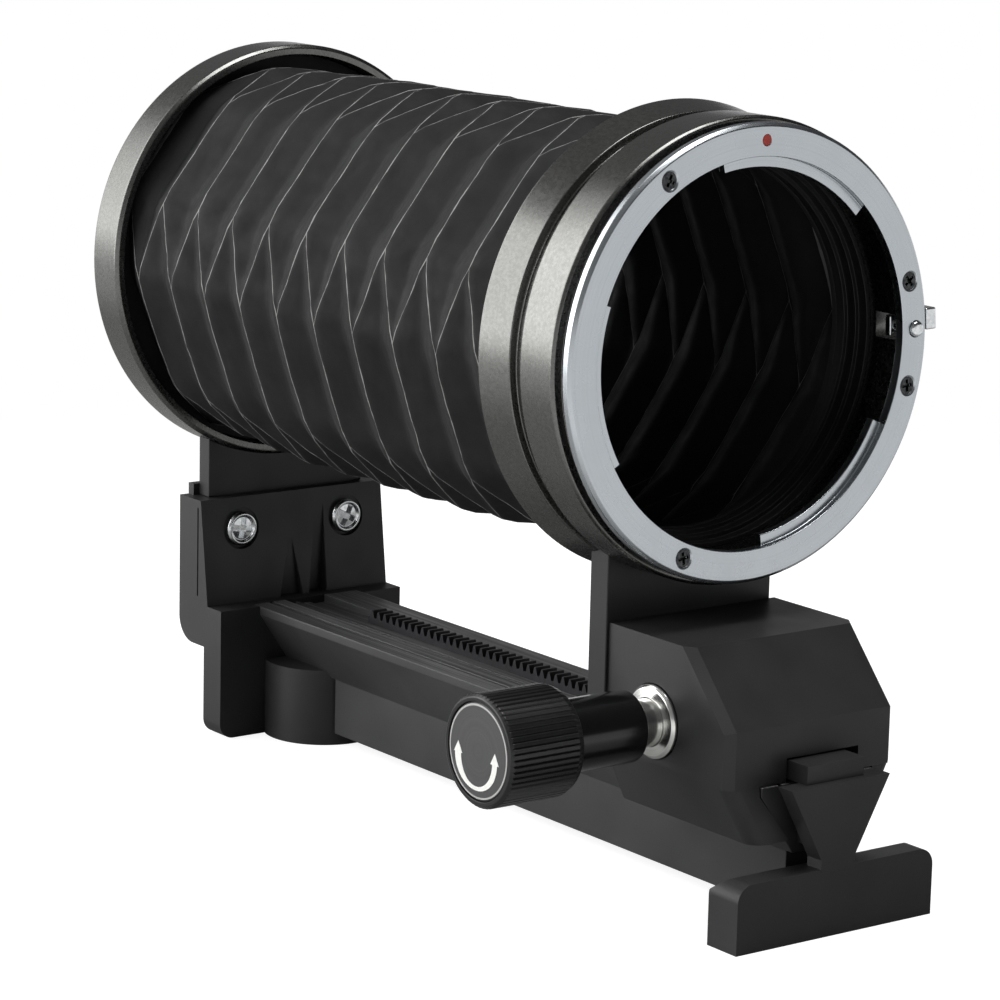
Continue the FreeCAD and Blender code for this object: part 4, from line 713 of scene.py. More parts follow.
tree, given = new_tree("folded_tube", Pleats="Int", Panels="Int", Start="Float", End="Float", First="Float",
                       Step="Float", Ridge_radius="Float", Depth="Float", Panel_span="Float",
                       First_angle="Float", Crumple="Float", Bow="Float", Sag="Float", Finish="Material")
creases = add_node(tree, "ShaderNodeMath", {0: given["Pleats"], 1: 2.0}, operation="MULTIPLY")
rows = add_node(tree, "ShaderNodeMath", {0: creases, 1: 3.0}, operation="ADD")
row_steps = add_node(tree, "ShaderNodeMath", {0: creases, 1: 2.0}, operation="ADD")
column_steps = add_node(tree, "ShaderNodeMath", {0: given["Panels"], 1: 2.0}, operation="MULTIPLY")
columns = add_node(tree, "ShaderNodeMath", {0: column_steps, 1: 1.0}, operation="ADD")
grid = add_node(tree, "GeometryNodeMeshGrid", {"Size X": row_steps, "Size Y": column_steps,
                                               "Vertices X": rows, "Vertices Y": columns})
spot = add_node(tree, "ShaderNodeSeparateXYZ", {0: add_node(tree, "GeometryNodeInputPosition")})
row_middle = add_node(tree, "ShaderNodeMath", {0: row_steps, 1: 0.5}, operation="MULTIPLY")
row = add_node(tree, "ShaderNodeMath", {0: spot.outputs[0], 1: row_middle}, operation="ADD")
row = add_node(tree, "ShaderNodeMath", {0: row}, operation="ROUND")
crease = add_node(tree, "ShaderNodeMath", {0: row, 1: 1.0}, operation="SUBTRACT")
crease_held = add_node(tree, "ShaderNodeClamp", {0: crease, 1: 0.0, 2: creases})
corner = add_node(tree, "ShaderNodeMath", {0: spot.outputs[1], 1: given["Panels"]}, operation="ADD")
corner = add_node(tree, "ShaderNodeMath", {0: corner}, operation="ROUND")
half_corner = add_node(tree, "ShaderNodeMath", {0: corner, 1: 0.5}, operation="MULTIPLY")
panel = add_node(tree, "ShaderNodeMath", {0: half_corner}, operation="FLOOR")
second_side = add_node(tree, "ShaderNodeMath", {0: corner, 1: 2.0}, operation="MODULO")
out_of_step = add_node(tree, "ShaderNodeMath", {0: crease_held, 1: panel}, operation="ADD")
valley = add_node(tree, "ShaderNodeMath", {0: out_of_step, 1: 2.0}, operation="MODULO")

# %% [markdown]
# The point's place follows from those whole numbers: along the tube by its crease, out from the
# axis by ridge or valley, and round the axis by panel and side.

# %% Where each point goes
along = add_node(tree, "ShaderNodeMath", {0: crease, 1: given["Step"], 2: given["First"]},
                 operation="MULTIPLY_ADD")
along = add_node(tree, "ShaderNodeClamp", {0: along, 1: given["Start"], 2: given["End"]})
sunk = add_node(tree, "ShaderNodeMath", {0: valley, 1: given["Depth"]}, operation="MULTIPLY")
out = add_node(tree, "ShaderNodeMath", {0: given["Ridge_radius"], 1: sunk}, operation="SUBTRACT")
panel_turn = add_node(tree, "ShaderNodeMath", {0: 360.0, 1: given["Panels"]}, operation="DIVIDE")
turn = add_node(tree, "ShaderNodeMath", {0: panel, 1: panel_turn, 2: given["First_angle"]},
                operation="MULTIPLY_ADD")
turn = add_node(tree, "ShaderNodeMath", {0: second_side, 1: given["Panel_span"], 2: turn},
                operation="MULTIPLY_ADD")
turn = add_node(tree, "ShaderNodeMath", {0: turn}, operation="RADIANS")
cosine = add_node(tree, "ShaderNodeMath", {0: turn}, operation="COSINE")
sine = add_node(tree, "ShaderNodeMath", {0: turn}, operation="SINE")
across = add_node(tree, "ShaderNodeMath", {0: out, 1: cosine}, operation="MULTIPLY")
high = add_node(tree, "ShaderNodeMath", {0: out, 1: sine}, operation="MULTIPLY")
folded_spot = add_node(tree, "ShaderNodeCombineXYZ", {0: along, 1: across, 2: high})
marked = add_node(tree, "GeometryNodeStoreNamedAttribute", {0: grid, "Name": "fold", "Value": valley},
                  data_type="FLOAT", domain="POINT")
folded = add_node(tree, "GeometryNodeSetPosition", {0: marked, "Position": folded_spot})
tube = add_node(tree, "GeometryNodeMergeByDistance", {0: folded, "Distance": 0.01})
print("grid of", 2 * PLEATS + 3, "creases by", 2 * PANELS, "corners")

# %% [markdown]
# Real cloth has no knife edges.  Averaging each point with its neighbours rounds the creases, and
# two noises along the normal make the panels sag, bulge and pucker by some tenths.  Between its two
# rings the whole tube also bows outwards a little and hangs lower along its underside.

# %% Soften and crumple, then run the tree
SUBDIVISIONS = 3
CRUMPLE_SIZE, CRUMPLE_SEED = 7.0, 4.0
PUCKER_SIZE, PUCKER_SEED, PUCKER_SHARE = 2.6, 9.0, 0.4
ARCH_FULL = 0.24
SAG_STARTS, SAG_FULL = 0.2, -0.9

facets = add_node(tree, "GeometryNodeTriangulate", {0: tube}, quad_method="LONGEST_DIAGONAL")
fine = add_node(tree, "GeometryNodeSubdivideMesh", {0: facets, "Level": SUBDIVISIONS})
average = add_node(tree, "GeometryNodeBlurAttribute",
                   {"Value": add_node(tree, "GeometryNodeInputPosition"), "Iterations": 1},
                   data_type="FLOAT_VECTOR")
soft = add_node(tree, "GeometryNodeSetPosition", {0: fine, "Position": average})
at = add_node(tree, "GeometryNodeInputPosition")
slow_noise = add_node(tree, "ShaderNodeTexNoise",
                      {"Vector": at, "W": CRUMPLE_SEED, "Scale": 1 / CRUMPLE_SIZE, "Detail": 2.0},
                      noise_dimensions="4D")
pucker = add_node(tree, "ShaderNodeTexNoise",
                  {"Vector": at, "W": PUCKER_SEED, "Scale": 1 / PUCKER_SIZE, "Detail": 1.0},
                  noise_dimensions="4D")
both = add_node(tree, "ShaderNodeMath", {0: pucker, 1: PUCKER_SHARE, 2: slow_noise},
                operation="MULTIPLY_ADD")
bulge = add_node(tree, "ShaderNodeMath", {0: both, 1: (1 + PUCKER_SHARE) / 2}, operation="SUBTRACT")
bulge = add_node(tree, "ShaderNodeMath", {0: bulge, 1: given["Crumple"]}, operation="MULTIPLY")
push = add_node(tree, "ShaderNodeVectorMath", {0: add_node(tree, "GeometryNodeInputNormal"), "Scale": bulge},
                operation="SCALE")
crumpled = add_node(tree, "GeometryNodeSetPosition", {0: soft, "Offset": push})
parts = add_node(tree, "ShaderNodeSeparateXYZ", {0: at})
from_back = add_node(tree, "ShaderNodeMapRange", {0: parts.outputs[0], 1: given["Start"], 2: given["End"]})
to_front = add_node(tree, "ShaderNodeMath", {0: 1.0, 1: from_back}, operation="SUBTRACT")
arch = add_node(tree, "ShaderNodeMath", {0: from_back, 1: to_front}, operation="MULTIPLY")
arch = add_node(tree, "ShaderNodeMapRange", {0: arch, 1: 0.0, 2: ARCH_FULL},
                interpolation_type="SMOOTHSTEP")
radial = add_node(tree, "ShaderNodeVectorMath", {0: at, 1: (0.0, 1.0, 1.0)}, operation="MULTIPLY")
radial = add_node(tree, "ShaderNodeVectorMath", {0: radial}, operation="NORMALIZE")
outward_z = add_node(tree, "ShaderNodeSeparateXYZ", {0: radial})
lowness = add_node(tree, "ShaderNodeMapRange", {0: outward_z.outputs[2], 1: SAG_STARTS, 2: SAG_FULL},
                   interpolation_type="SMOOTHSTEP")
swell = add_node(tree, "ShaderNodeMath", {0: lowness, 1: given["Sag"], 2: given["Bow"]},
                 operation="MULTIPLY_ADD")
swell = add_node(tree, "ShaderNodeMath", {0: swell, 1: arch}, operation="MULTIPLY")
swelling = add_node(tree, "ShaderNodeVectorMath", {0: radial, "Scale": swell}, operation="SCALE")
bowed = add_node(tree, "GeometryNodeSetPosition", {0: crumpled, "Offset": swelling})
seal(tree, bowed, given["Finish"])

cloth_skin = grow(seeds("bellows_cloth"), tree, {
    "Pleats": PLEATS, "Panels": PANELS, "Start": BELLOWS_START, "End": BELLOWS_END, "First": FIRST_RIDGE,
    "Step": (LAST_RIDGE - FIRST_RIDGE) / (2 * PLEATS), "Ridge_radius": RIDGE_RADIUS, "Depth": FOLD_DEPTH,
    "Panel_span": PANEL_SPAN, "First_angle": FIRST_PANEL_ANGLE, "Crumple": 0.7, "Bow": 0.45, "Sag": 1.3,
    "Finish": bellows_cloth})
print("folded skin:", len(cloth_skin.vertices), "points")

# %% [markdown]
# The skin gets the thickness of the cloth and its card, inwards, so that the folds show inside the
# throat too.

# %% The bellows and the frames it is glued to
CLOTH_SHARP = 50

skin = bmesh.new()
skin.from_mesh(cloth_skin)
bmesh.ops.recalc_face_normals(skin, faces=skin.faces)
outward = sum(face.normal.dot(face.calc_center_median() * Vector((0, 1, 1))) for face in skin.faces)
if outward < 0:
    bmesh.ops.reverse_faces(skin, faces=skin.faces)
skin.to_mesh(cloth_skin)
skin.free()
cloth_tube = applied(cloth_skin, "SOLIDIFY", thickness=CLOTH_WALL * MM, offset=-1.0)
cloth_tube.shade_smooth()
cloth_tube.set_sharp_from_angle(angle=math.radians(CLOTH_SHARP))
bellows = add_piece("bellows_tube", cloth_tube, bellows_cloth, "base", "black_leatherette", "bellows")
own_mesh(bellows)

FRAME_INNER, FRAME_OUTER, FRAME_WIDTH = 26.0, 30.9, 0.9
for name, body, start in (("bellows_rear_frame", "base", BELLOWS_START - FRAME_WIDTH),
                          ("bellows_front_frame", "carriage", BELLOWS_END)):
    end = start + FRAME_WIDTH
    section = [(start, FRAME_INNER), (start, FRAME_OUTER), (end, FRAME_OUTER), (end, FRAME_INNER)]
    add_piece(f"{name}_card", turned(name, section, size=0.1), card, body, "black_card_frame", name)

# %% [markdown]
# ## The camera end
# The ring that holds the bellows is a shallow cup, open towards the pleats.  Its flange takes the
# bayonet that locks into a camera: a chromed tube with three lugs.

# %% Rear ring and camera bayonet
RING_STEPS = 192

rear_ring = [(1.4, 25.0), (1.4, 29.0), (0.0, 29.0), (0.0, 32.2), (0.4, 32.6), (6.5, 32.6),
             (7.0, 32.1), (7.0, 31.0), (2.6, 31.0), (2.6, 25.0)]
add_piece("rear_ring_cup", turned("rear_ring", rear_ring, steps=RING_STEPS), ring_metal, "base",
          "dark_anodised_aluminium", "rear_ring")
add_rounded("camera_bayonet_chrome", "camera_bayonet", 0.12, satin_chrome, "base", "satin_chrome")

# %% [markdown]
# ## The lens end
# The barrel has a tapered ring with a skirt over the bellows' last pleat, a narrow dark waist, and
# the band behind the chromed mount.  A lathe profile holds all of it, shadow groove included.  The
# slot for the lens release is milled afterwards, as on the real barrel.

# %% Lens barrel and light baffle
RELEASE_ANGLE = 2.8
SLOT_SIZE = (5.2, 6.0, 3.6)
SLOT_MIDDLE = (115.95, 30.0, 0.0)

barrel = [(102.0, 32.55), (102.0, 33.15), (107.4, 31.95), (107.6, 30.9), (109.5, 30.9),
          (109.8, 31.95), (110.2, 32.25), (116.8, 32.25), (117.2, 31.9), (117.2, 30.7),
          (118.55, 30.7), (118.55, 28.0), (107.15, 28.0), (107.15, 31.35)]
slot_block = bmesh.new()
bmesh.ops.create_cube(slot_block, matrix=Matrix.Rotation(math.radians(RELEASE_ANGLE), 4, "X")
                      @ Matrix.Translation(SLOT_MIDDLE) @ Matrix.Diagonal((*SLOT_SIZE, 1)))
slot_cutter = bpy.data.objects.new("slot_cutter", to_metres(as_mesh("slot_cutter", slot_block)))
scene.collection.objects.link(slot_cutter)
slotted = applied(turned("lens_barrel", barrel, steps=RING_STEPS), "BOOLEAN", object=slot_cutter,
                  solver="EXACT")
slotted.set_sharp_from_angle(angle=math.radians(SHARP))
bpy.data.objects.remove(slot_cutter)
add_piece("lens_barrel_turned", slotted, ring_metal, "carriage", "dark_anodised_aluminium", "lens_barrel")
add_rounded("light_baffle_steps", "light_baffle", 0.08, flat_black, "carriage", "flat_black_aluminium")

# %% [markdown]
# The mount ring has a conical rim and stands a hair off the band, so a dark line runs round behind
# it.  The index mark and its seat lie a little past the top.  The release is a thumb tab with round
# corners beside the mount, and the head of its pin shows in the mount's face.

# %% How these four differ from the construction
LENS_PLANE = 120.05
RIM_RADIUS, RIM_GAP, RIM_TAPER = 31.3, 0.35, 0.986
RIM_FRONT, RIM_BACK = LENS_PLANE - 0.5, LENS_PLANE - 2.0
MARK_RADIUS, MARK_REACH = 29.2, 1.2
MARK_TURN = Matrix.Rotation(math.radians(-1.7), 3, "X")
TAB_ROOT = 31.0
TAB_MIDDLE, TAB_SHARE, TAB_LIFT = 1.6, 0.62, 0.9
PIN_SHARE = 0.5


def at_mark(point):
    """Turn what belongs to the index mark about the optical axis."""
    near = point.x > RIM_FRONT and math.hypot(point.y, point.z - MARK_RADIUS) < MARK_REACH
    return MARK_TURN @ point if near else point


def as_mount_ring(point):
    """Taper the rim, set its back forward, and let the seat turn with the index mark."""
    if math.hypot(point.y, point.z) < RIM_RADIUS:
        return at_mark(point)
    if point.x > RIM_FRONT:
        return Vector((point.x, point.y * RIM_TAPER, point.z * RIM_TAPER))
    return Vector((point.x + RIM_GAP, point.y, point.z)) if point.x < RIM_BACK else point


def as_tab(point):
    """Shorten the part of the lever that stands outside the barrel."""
    if point.y < TAB_ROOT:
        return point
    return Vector((point.x, point.y, TAB_MIDDLE + TAB_LIFT + (point.z - TAB_MIDDLE) * TAB_SHARE))


def as_pin_head(point):
    """Let the pin stand out of the mount's face by a share of its height."""
    proud = max(point.x - LENS_PLANE, 0.0)
    return Vector((point.x - proud * (1 - PIN_SHARE), point.y, point.z))


# %% Mount ring, index mark and release
add_rounded("lens_mount_face", "lens_mount_ring", 0.16, satin_chrome, "carriage", "satin_chrome",
            as_mount_ring)
add_rounded("index_mark", "index_dot", 0.06, red_enamel, "carriage", "red_enamel", at_mark)
add_rounded("release_pad", "release_lever", 0.5, nickel, "lens_release", "bright_steel", as_tab)
add_rounded("release_pin", "lock_pin", 0.2, nickel, "lens_release", "bright_steel", as_pin_head)

# %% [markdown]
# ## Rail, feet, plates and carriage
# These are the moulded and sheet parts.  Each gets the edge radius of its making: about a third of
# a millimetre on a moulding, less on sheet.  The front plate is cut to the barrel that it carries,
# and the carriage's leg on the side away from the knob leans back.

# %% How the plate and the carriage differ from the construction
PLATE_FAR_EDGE = 13.2
ARC_BELOW, WAIST_START = -36.5, 107.3
SKIRT_ARC, WAIST_ARC = 31.7, 30.7
FAR_LEG, LEG_BELOW, LEG_FRONT = 9.0, -60.0, 130.0
LEG_BACK = 3.2


def as_front_plate(point):
    """The front plate ends earlier on the side away from the knob and meets the barrel in an arc."""
    across = min(point.y, PLATE_FAR_EDGE)
    if point.z < ARC_BELOW:
        return Vector((point.x, across, point.z))
    radius = SKIRT_ARC if point.x < WAIST_START else WAIST_ARC
    return Vector((point.x, across, -math.sqrt(radius * radius - across * across)))


def as_carriage(point):
    """The leg away from the knob leans back towards its foot."""
    leans = point.y > FAR_LEG and point.z < LEG_BELOW and point.x > LEG_FRONT
    return Vector((point.x - LEG_BACK, point.y, point.z)) if leans else point


# %% Mouldings and plates
add_rounded("dovetail_rail", "rail", 0.18, rail_abs, "base", "black_abs")
add_rounded("rear_foot_moulding", "rear_foot", 0.35, black_abs, "base", "black_abs")
add_rounded("front_foot_moulding", "front_foot", 0.5, black_abs, "base", "black_abs")
add_rounded("rear_plate", "rear_standard_plate", 0.2, painted_metal, "base", "black_painted_metal")
add_rounded("front_plate", "front_standard_plate", 0.2, painted_metal, "carriage", "black_painted_metal",
            as_front_plate)
add_rounded("carriage_moulding", "carriage_housing", 0.3, black_abs, "carriage", "black_abs", as_carriage)

# %% [markdown]
# ## The rack
# The rack is a nylon strip glued into the rail's top.  Its straight teeth follow one rule: the pitch
# is pi times the module, and a space lies under the pinion when the bellows is drawn out.  A tree
# sets the teeth along a line and joins them to the strip.

# %% Rack teeth along the rail
MODULE = 0.541
PITCH = math.pi * MODULE
RAIL_TOP = -55.3
RACK_START, RACK_END = 28.0, 136.0
RACK_NEAR, RACK_FAR = 1.0, 3.65
STRIP_DEPTH = 1.2
TOOTH_HEIGHT, TOOTH_LAP = 1.21, 0.2
ROOT_HALF, TIP_HALF = 0.635, 0.195
TOOTH_BEVEL, BEVEL_FROM = 0.06, 30

space = DRIVE_AXIS[0] + PITCH / 2
first_tooth = space - math.floor((space - RACK_START - ROOT_HALF) / PITCH) * PITCH
teeth = math.floor((RACK_END - ROOT_HALF - first_tooth) / PITCH) + 1

tree, given = new_tree("rack_row", Strip_size="Vector", Strip_middle="Vector", Tooth_size="Vector",
                       Tip_share="Vector", First_tooth="Vector", Step="Vector", Count="Int",
                       Finish="Material")
strip = add_node(tree, "GeometryNodeMeshCube", {"Size": given["Strip_size"]})
strip = add_node(tree, "GeometryNodeTransform", {0: strip, "Translation": given["Strip_middle"]})
tooth = add_node(tree, "GeometryNodeMeshCube", {"Size": given["Tooth_size"]})
place = add_node(tree, "GeometryNodeInputPosition")
height = add_node(tree, "ShaderNodeSeparateXYZ", {0: place})
upper = add_node(tree, "FunctionNodeCompare", {0: height.outputs[2], 1: 0.0}, operation="GREATER_THAN")
narrowed = add_node(tree, "ShaderNodeVectorMath", {0: place, 1: given["Tip_share"]}, operation="MULTIPLY")
tooth = add_node(tree, "GeometryNodeSetPosition", {0: tooth, "Selection": upper, "Position": narrowed})
row = add_node(tree, "GeometryNodeMeshLine", {"Count": given["Count"], "Start Location": given["First_tooth"],
                                              "Offset": given["Step"]})
row = add_node(tree, "GeometryNodeInstanceOnPoints", {"Points": row, "Instance": tooth})
row = add_node(tree, "GeometryNodeRealizeInstances", {0: row})
rack_solid = add_node(tree, "GeometryNodeMeshBoolean", {"Mesh 2": strip}, operation="UNION", solver="EXACT")
tree.links.new(row.outputs[0], rack_solid.inputs["Mesh 2"])
seal(tree, rack_solid, given["Finish"])

rack_middle = (RACK_NEAR + RACK_FAR) / 2
rack_mesh = grow(seeds("rack"), tree, {
    "Strip_size": (RACK_END - RACK_START, RACK_FAR - RACK_NEAR, STRIP_DEPTH),
    "Strip_middle": ((RACK_START + RACK_END) / 2, rack_middle, RAIL_TOP - STRIP_DEPTH / 2),
    "Tooth_size": (2 * ROOT_HALF, RACK_FAR - RACK_NEAR, TOOTH_HEIGHT + TOOTH_LAP),
    "Tip_share": (TIP_HALF / ROOT_HALF, 1.0, 1.0),
    "First_tooth": (first_tooth, rack_middle, RAIL_TOP + (TOOTH_HEIGHT - TOOTH_LAP) / 2),
    "Step": (PITCH, 0.0, 0.0), "Count": teeth, "Finish": black_nylon}, sharp=20)
rack_mesh = applied(rack_mesh, "BEVEL", width=TOOTH_BEVEL * MM, segments=1, limit_method="ANGLE",
                    angle_limit=math.radians(BEVEL_FROM))
add_piece("rack_teeth", rack_mesh, black_nylon, "base", "black_nylon", "rack")
print("rack:", teeth, "teeth, pitch", round(PITCH, 3), "mm")

# %% [markdown]
# ## The focusing drive
# The spindle runs in a steel bush in the housing's side and a brass one in its far wall.  A black
# sleeve covers it outside.  These come from a lathe.  The pinion that drives the rack has its teeth
# cut by a hob, and the clip is stamped from spring steel, so both keep the construction's form.

# %% Spindle, bushes, sleeve, pinion and clip
spindle = [(-42.6, 0.0), (-42.6, 2.0), (-31.3, 2.0), (-31.3, 3.3), (-9.9, 3.3), (-9.9, 2.9),
           (-9.1, 2.9), (-9.1, 3.3), (0.7, 3.3), (0.7, 2.0), (8.6, 2.0), (8.6, 0.0)]
near_bush = [(-16.55, 3.35), (-16.3, 4.75), (-15.9, 5.15), (-14.9, 5.15), (-14.9, 4.2),
             (-10.2, 4.2), (-10.2, 3.35)]
far_bush = [(5.2, 2.05), (5.2, 3.4), (8.8, 3.4), (8.8, 2.05)]
sleeve = [(-32.3, 2.0), (-32.3, 4.6), (-31.9, 5.0), (-20.4, 5.0), (-20.0, 4.6), (-20.0, 3.3), (-31.3, 3.3),
          (-31.3, 2.0)]
for node, corners, finish, body, slot in (
        ("focus_spindle", spindle, bright_steel, "focus_drive", "bright_steel"),
        ("spindle_bush", near_bush, bright_steel, "carriage", "bright_steel"),
        ("far_bush", far_bush, brass, "carriage", "brass"),
        ("drive_sleeve", sleeve, sleeve_metal, "focus_drive", "black_anodised_aluminium")):
    mesh = turned(node, corners, steps=96, size=0.12, place=DRIVE_PLACE)
    add_piece(f"{node}_turned", mesh, finish, body, slot, node)
add_rounded("pinion_gear", "pinion", 0.05, brass, "focus_drive", "brass")
add_rounded("spindle_clip", "circlip", 0.08, nickel, "focus_drive", "nickel_steel")

# %% [markdown]
# ## The knob
# A straight knurling wheel rolls fine V grooves along the grip.  The tree pulls every point of the
# turned blank back to the groove's flank: the nearer a point lies to the middle of a groove, the
# smaller the radius that is left to it.

# %% The knurl
KNURLS = 60
KNOB_RADIUS = 7.7
KNURL_DEPTH = 0.2
KNURL_WIDTH = 0.4
KNURL_STEPS = 8
OFF_THE_SEAM = 0.001

tree, given = new_tree("knurl", Count="Float", Radius="Float", Depth="Float", Width="Float",
                       Finish="Material")
place = add_node(tree, "GeometryNodeInputPosition")
parts = add_node(tree, "ShaderNodeSeparateXYZ", {0: place})
angle = add_node(tree, "ShaderNodeMath", {0: parts.outputs[2], 1: parts.outputs[1]}, operation="ARCTAN2")
turns = add_node(tree, "ShaderNodeMath", {0: angle, 1: 2 * math.pi}, operation="DIVIDE")
grooves = add_node(tree, "ShaderNodeMath", {0: turns, 1: given["Count"]}, operation="MULTIPLY")
grooves = add_node(tree, "ShaderNodeMath", {0: grooves, 1: OFF_THE_SEAM}, operation="ADD")
share = add_node(tree, "ShaderNodeMath", {0: grooves}, operation="FRACT")
share = add_node(tree, "ShaderNodeMath", {0: share, 1: 0.5}, operation="SUBTRACT")
share = add_node(tree, "ShaderNodeMath", {0: share}, operation="ABSOLUTE")
groove_arc = add_node(tree, "ShaderNodeMath", {0: given["Radius"], 1: 2 * math.pi}, operation="MULTIPLY")
groove_arc = add_node(tree, "ShaderNodeMath", {0: groove_arc, 1: given["Count"]}, operation="DIVIDE")
aside = add_node(tree, "ShaderNodeMath", {0: share, 1: groove_arc}, operation="MULTIPLY")
half_width = add_node(tree, "ShaderNodeMath", {0: given["Width"], 1: 2.0}, operation="DIVIDE")
rise = add_node(tree, "ShaderNodeMath", {0: aside, 1: half_width}, operation="DIVIDE")
deep = add_node(tree, "ShaderNodeMath", {0: 1.0, 1: rise}, operation="SUBTRACT", use_clamp=True)
cut = add_node(tree, "ShaderNodeMath", {0: deep, 1: given["Depth"]}, operation="MULTIPLY")
left_over = add_node(tree, "ShaderNodeMath", {0: given["Radius"], 1: cut}, operation="SUBTRACT")
ring = add_node(tree, "ShaderNodeCombineXYZ", {1: parts.outputs[1], 2: parts.outputs[2]})
radius = add_node(tree, "ShaderNodeVectorMath", {0: ring}, operation="LENGTH")
shrink = add_node(tree, "ShaderNodeMath", {0: left_over, 1: radius.outputs["Value"]}, operation="DIVIDE")
shrink = add_node(tree, "ShaderNodeMath", {0: shrink, 1: 1.0}, operation="MINIMUM")
shrink = add_node(tree, "ShaderNodeCombineXYZ", {0: 1.0, 1: shrink, 2: shrink})
knurled = add_node(tree, "ShaderNodeVectorMath", {0: place, 1: shrink}, operation="MULTIPLY")
blank = add_node(tree, "GeometryNodeSetPosition", {0: given["Geometry"], "Position": knurled})
seal(tree, blank, given["Finish"])

grip = [(-32.5, 2.05), (-32.5, 6.2), (-32.94, 7.26), (-34.0, 7.7), (-44.55, 7.7), (-45.0, 7.25), (-45.0, 6.7),
        (-44.2, 6.7), (-44.2, 2.05)]
knob_blank = turned_blank("focus_knob", grip, steps=KNURLS * KNURL_STEPS, size=0.12)
knob_mesh = grow(knob_blank, tree, {"Count": KNURLS, "Radius": KNOB_RADIUS, "Depth": KNURL_DEPTH,
                                    "Width": KNURL_WIDTH, "Finish": knob_metal}, sharp=30)
to_drive = Matrix.Scale(MM, 4) @ DRIVE_PLACE @ Matrix.Scale(1 / MM, 4)
knob_mesh.transform(to_drive)
add_piece("knurled_knob", knob_mesh, knob_metal, "lock_knob", "black_anodised_aluminium", "focus_knob")

# %% [markdown]
# The disc in the knob's face is turned too and stands a hair below the rim.  A white arrow with a
# head at both ends is printed on it: the knob locks one way and frees the other.  The ink is a
# curved band, thin at the bottom and thicker towards its ends.

# %% Knob face and its arrow
FACE_RADIUS = 6.7
FACE_PLANE, FACE_BACK = -44.95, -44.2
FACE_CHAMFER = 0.3
INK = 0.03
ARROW_MIDDLE = (-0.35, -1.0)
ARROW_RADIUS = 4.05
BAND_BOTTOM, BAND_LEFT, BAND_RIGHT = 0.55, 1.35, 1.05
HEAD_HALF, HEAD_HEIGHT = 0.93, 1.6
ARROW_STEPS = 36

face_disc = [(FACE_PLANE, 0.0), (FACE_PLANE, FACE_RADIUS - FACE_CHAMFER),
             (FACE_PLANE + FACE_CHAMFER, FACE_RADIUS), (FACE_BACK, FACE_RADIUS), (FACE_BACK, 0.0)]
add_piece("knob_face_disc", turned("knob_face", face_disc, steps=96, size=0.08, place=DRIVE_PLACE),
          face_metal, "lock_knob", "dark_knob_face", "knob_face")

outer, inner = [], []
for step in range(ARROW_STEPS + 1):
    angle = math.pi * (1 + step / ARROW_STEPS)
    end_width = BAND_LEFT if step < ARROW_STEPS / 2 else BAND_RIGHT
    width = BAND_BOTTOM + (end_width - BAND_BOTTOM) * abs(math.cos(angle)) ** 2
    for side, points in ((1, outer), (-1, inner)):
        reach = ARROW_RADIUS + side * width / 2
        points.append((ARROW_MIDDLE[0] + reach * math.cos(angle), ARROW_MIDDLE[1] + reach * math.sin(angle)))
flat = [(outer[this], outer[this + 1], inner[this + 1], inner[this]) for this in range(ARROW_STEPS)]
for side in (-1, 1):
    middle = ARROW_MIDDLE[0] + side * ARROW_RADIUS
    flat.append(((middle - HEAD_HALF, ARROW_MIDDLE[1]), (middle + HEAD_HALF, ARROW_MIDDLE[1]),
                 (middle, ARROW_MIDDLE[1] + HEAD_HEIGHT)))

# %% [markdown]
# A layer of ink has a thickness, if only a few hundredths.  The flat faces are used twice, in front
# and, turned over, behind.  An edge that only one face has is part of the outline and gets a side.

# %% The ink's thickness
spots = list(dict.fromkeys(spot for face in flat for spot in face))
front = [[spots.index(spot) for spot in face] for face in flat]
edges = [edge for face in front for edge in zip(face, face[1:] + face[:1])]
outline = [edge for edge in edges if edge[::-1] not in edges]
back = len(spots)
behind = [[place + back for place in reversed(face)] for face in front]
sides = [[last, first, first + back, last + back] for first, last in outline]
corners = [(DRIVE_AXIS[0] + across, depth, DRIVE_AXIS[2] + high)
           for depth in (FACE_PLANE - INK, FACE_PLANE) for across, high in spots]
ink = bpy.data.meshes.new("printed_arrow")
ink.from_pydata(corners, [], front + behind + sides)
add_piece("printed_arrow", to_metres(ink), white_ink, "lock_knob", "dark_knob_face")

# %% [markdown]
# ## Screws
# Every screw has a cross recess, and no two stand at the same turn.  One tree makes them all: it
# cuts the recess into a turned blank, sets a copy on each point and gives it a turn from a seed.

# %% The tree that makes screws
tree, given = new_tree("cross_screws", Blank="Object", Reach="Vector", Second_reach="Vector", Top="Vector",
                       Flip="Float", Seed="Int", Finish="Material")
blank = add_node(tree, "GeometryNodeObjectInfo", {"Object": given["Blank"]})
bars = []
for label in ("Reach", "Second_reach"):
    bar = add_node(tree, "GeometryNodeMeshCube", {"Size": given[label]})
    bars.append(add_node(tree, "GeometryNodeTransform", {0: bar, "Translation": given["Top"]}))
head = add_node(tree, "GeometryNodeMeshBoolean", {"Mesh 1": blank.outputs["Geometry"], "Mesh 2": bars[0]},
                operation="DIFFERENCE", solver="EXACT")
tree.links.new(bars[1].outputs[0], head.inputs["Mesh 2"])
turn = add_node(tree, "FunctionNodeRandomValue", {2: 0.0, 3: math.pi / 2, "Seed": given["Seed"]},
                data_type="FLOAT")
turn = add_node(tree, "ShaderNodeCombineXYZ", {0: turn.outputs[1], 2: given["Flip"]})
turn = add_node(tree, "FunctionNodeEulerToRotation", {0: turn})
screws = add_node(tree, "GeometryNodeInstanceOnPoints", {"Points": given["Geometry"], "Instance": head,
                                                         "Rotation": turn})
seal(tree, screws, given["Finish"])


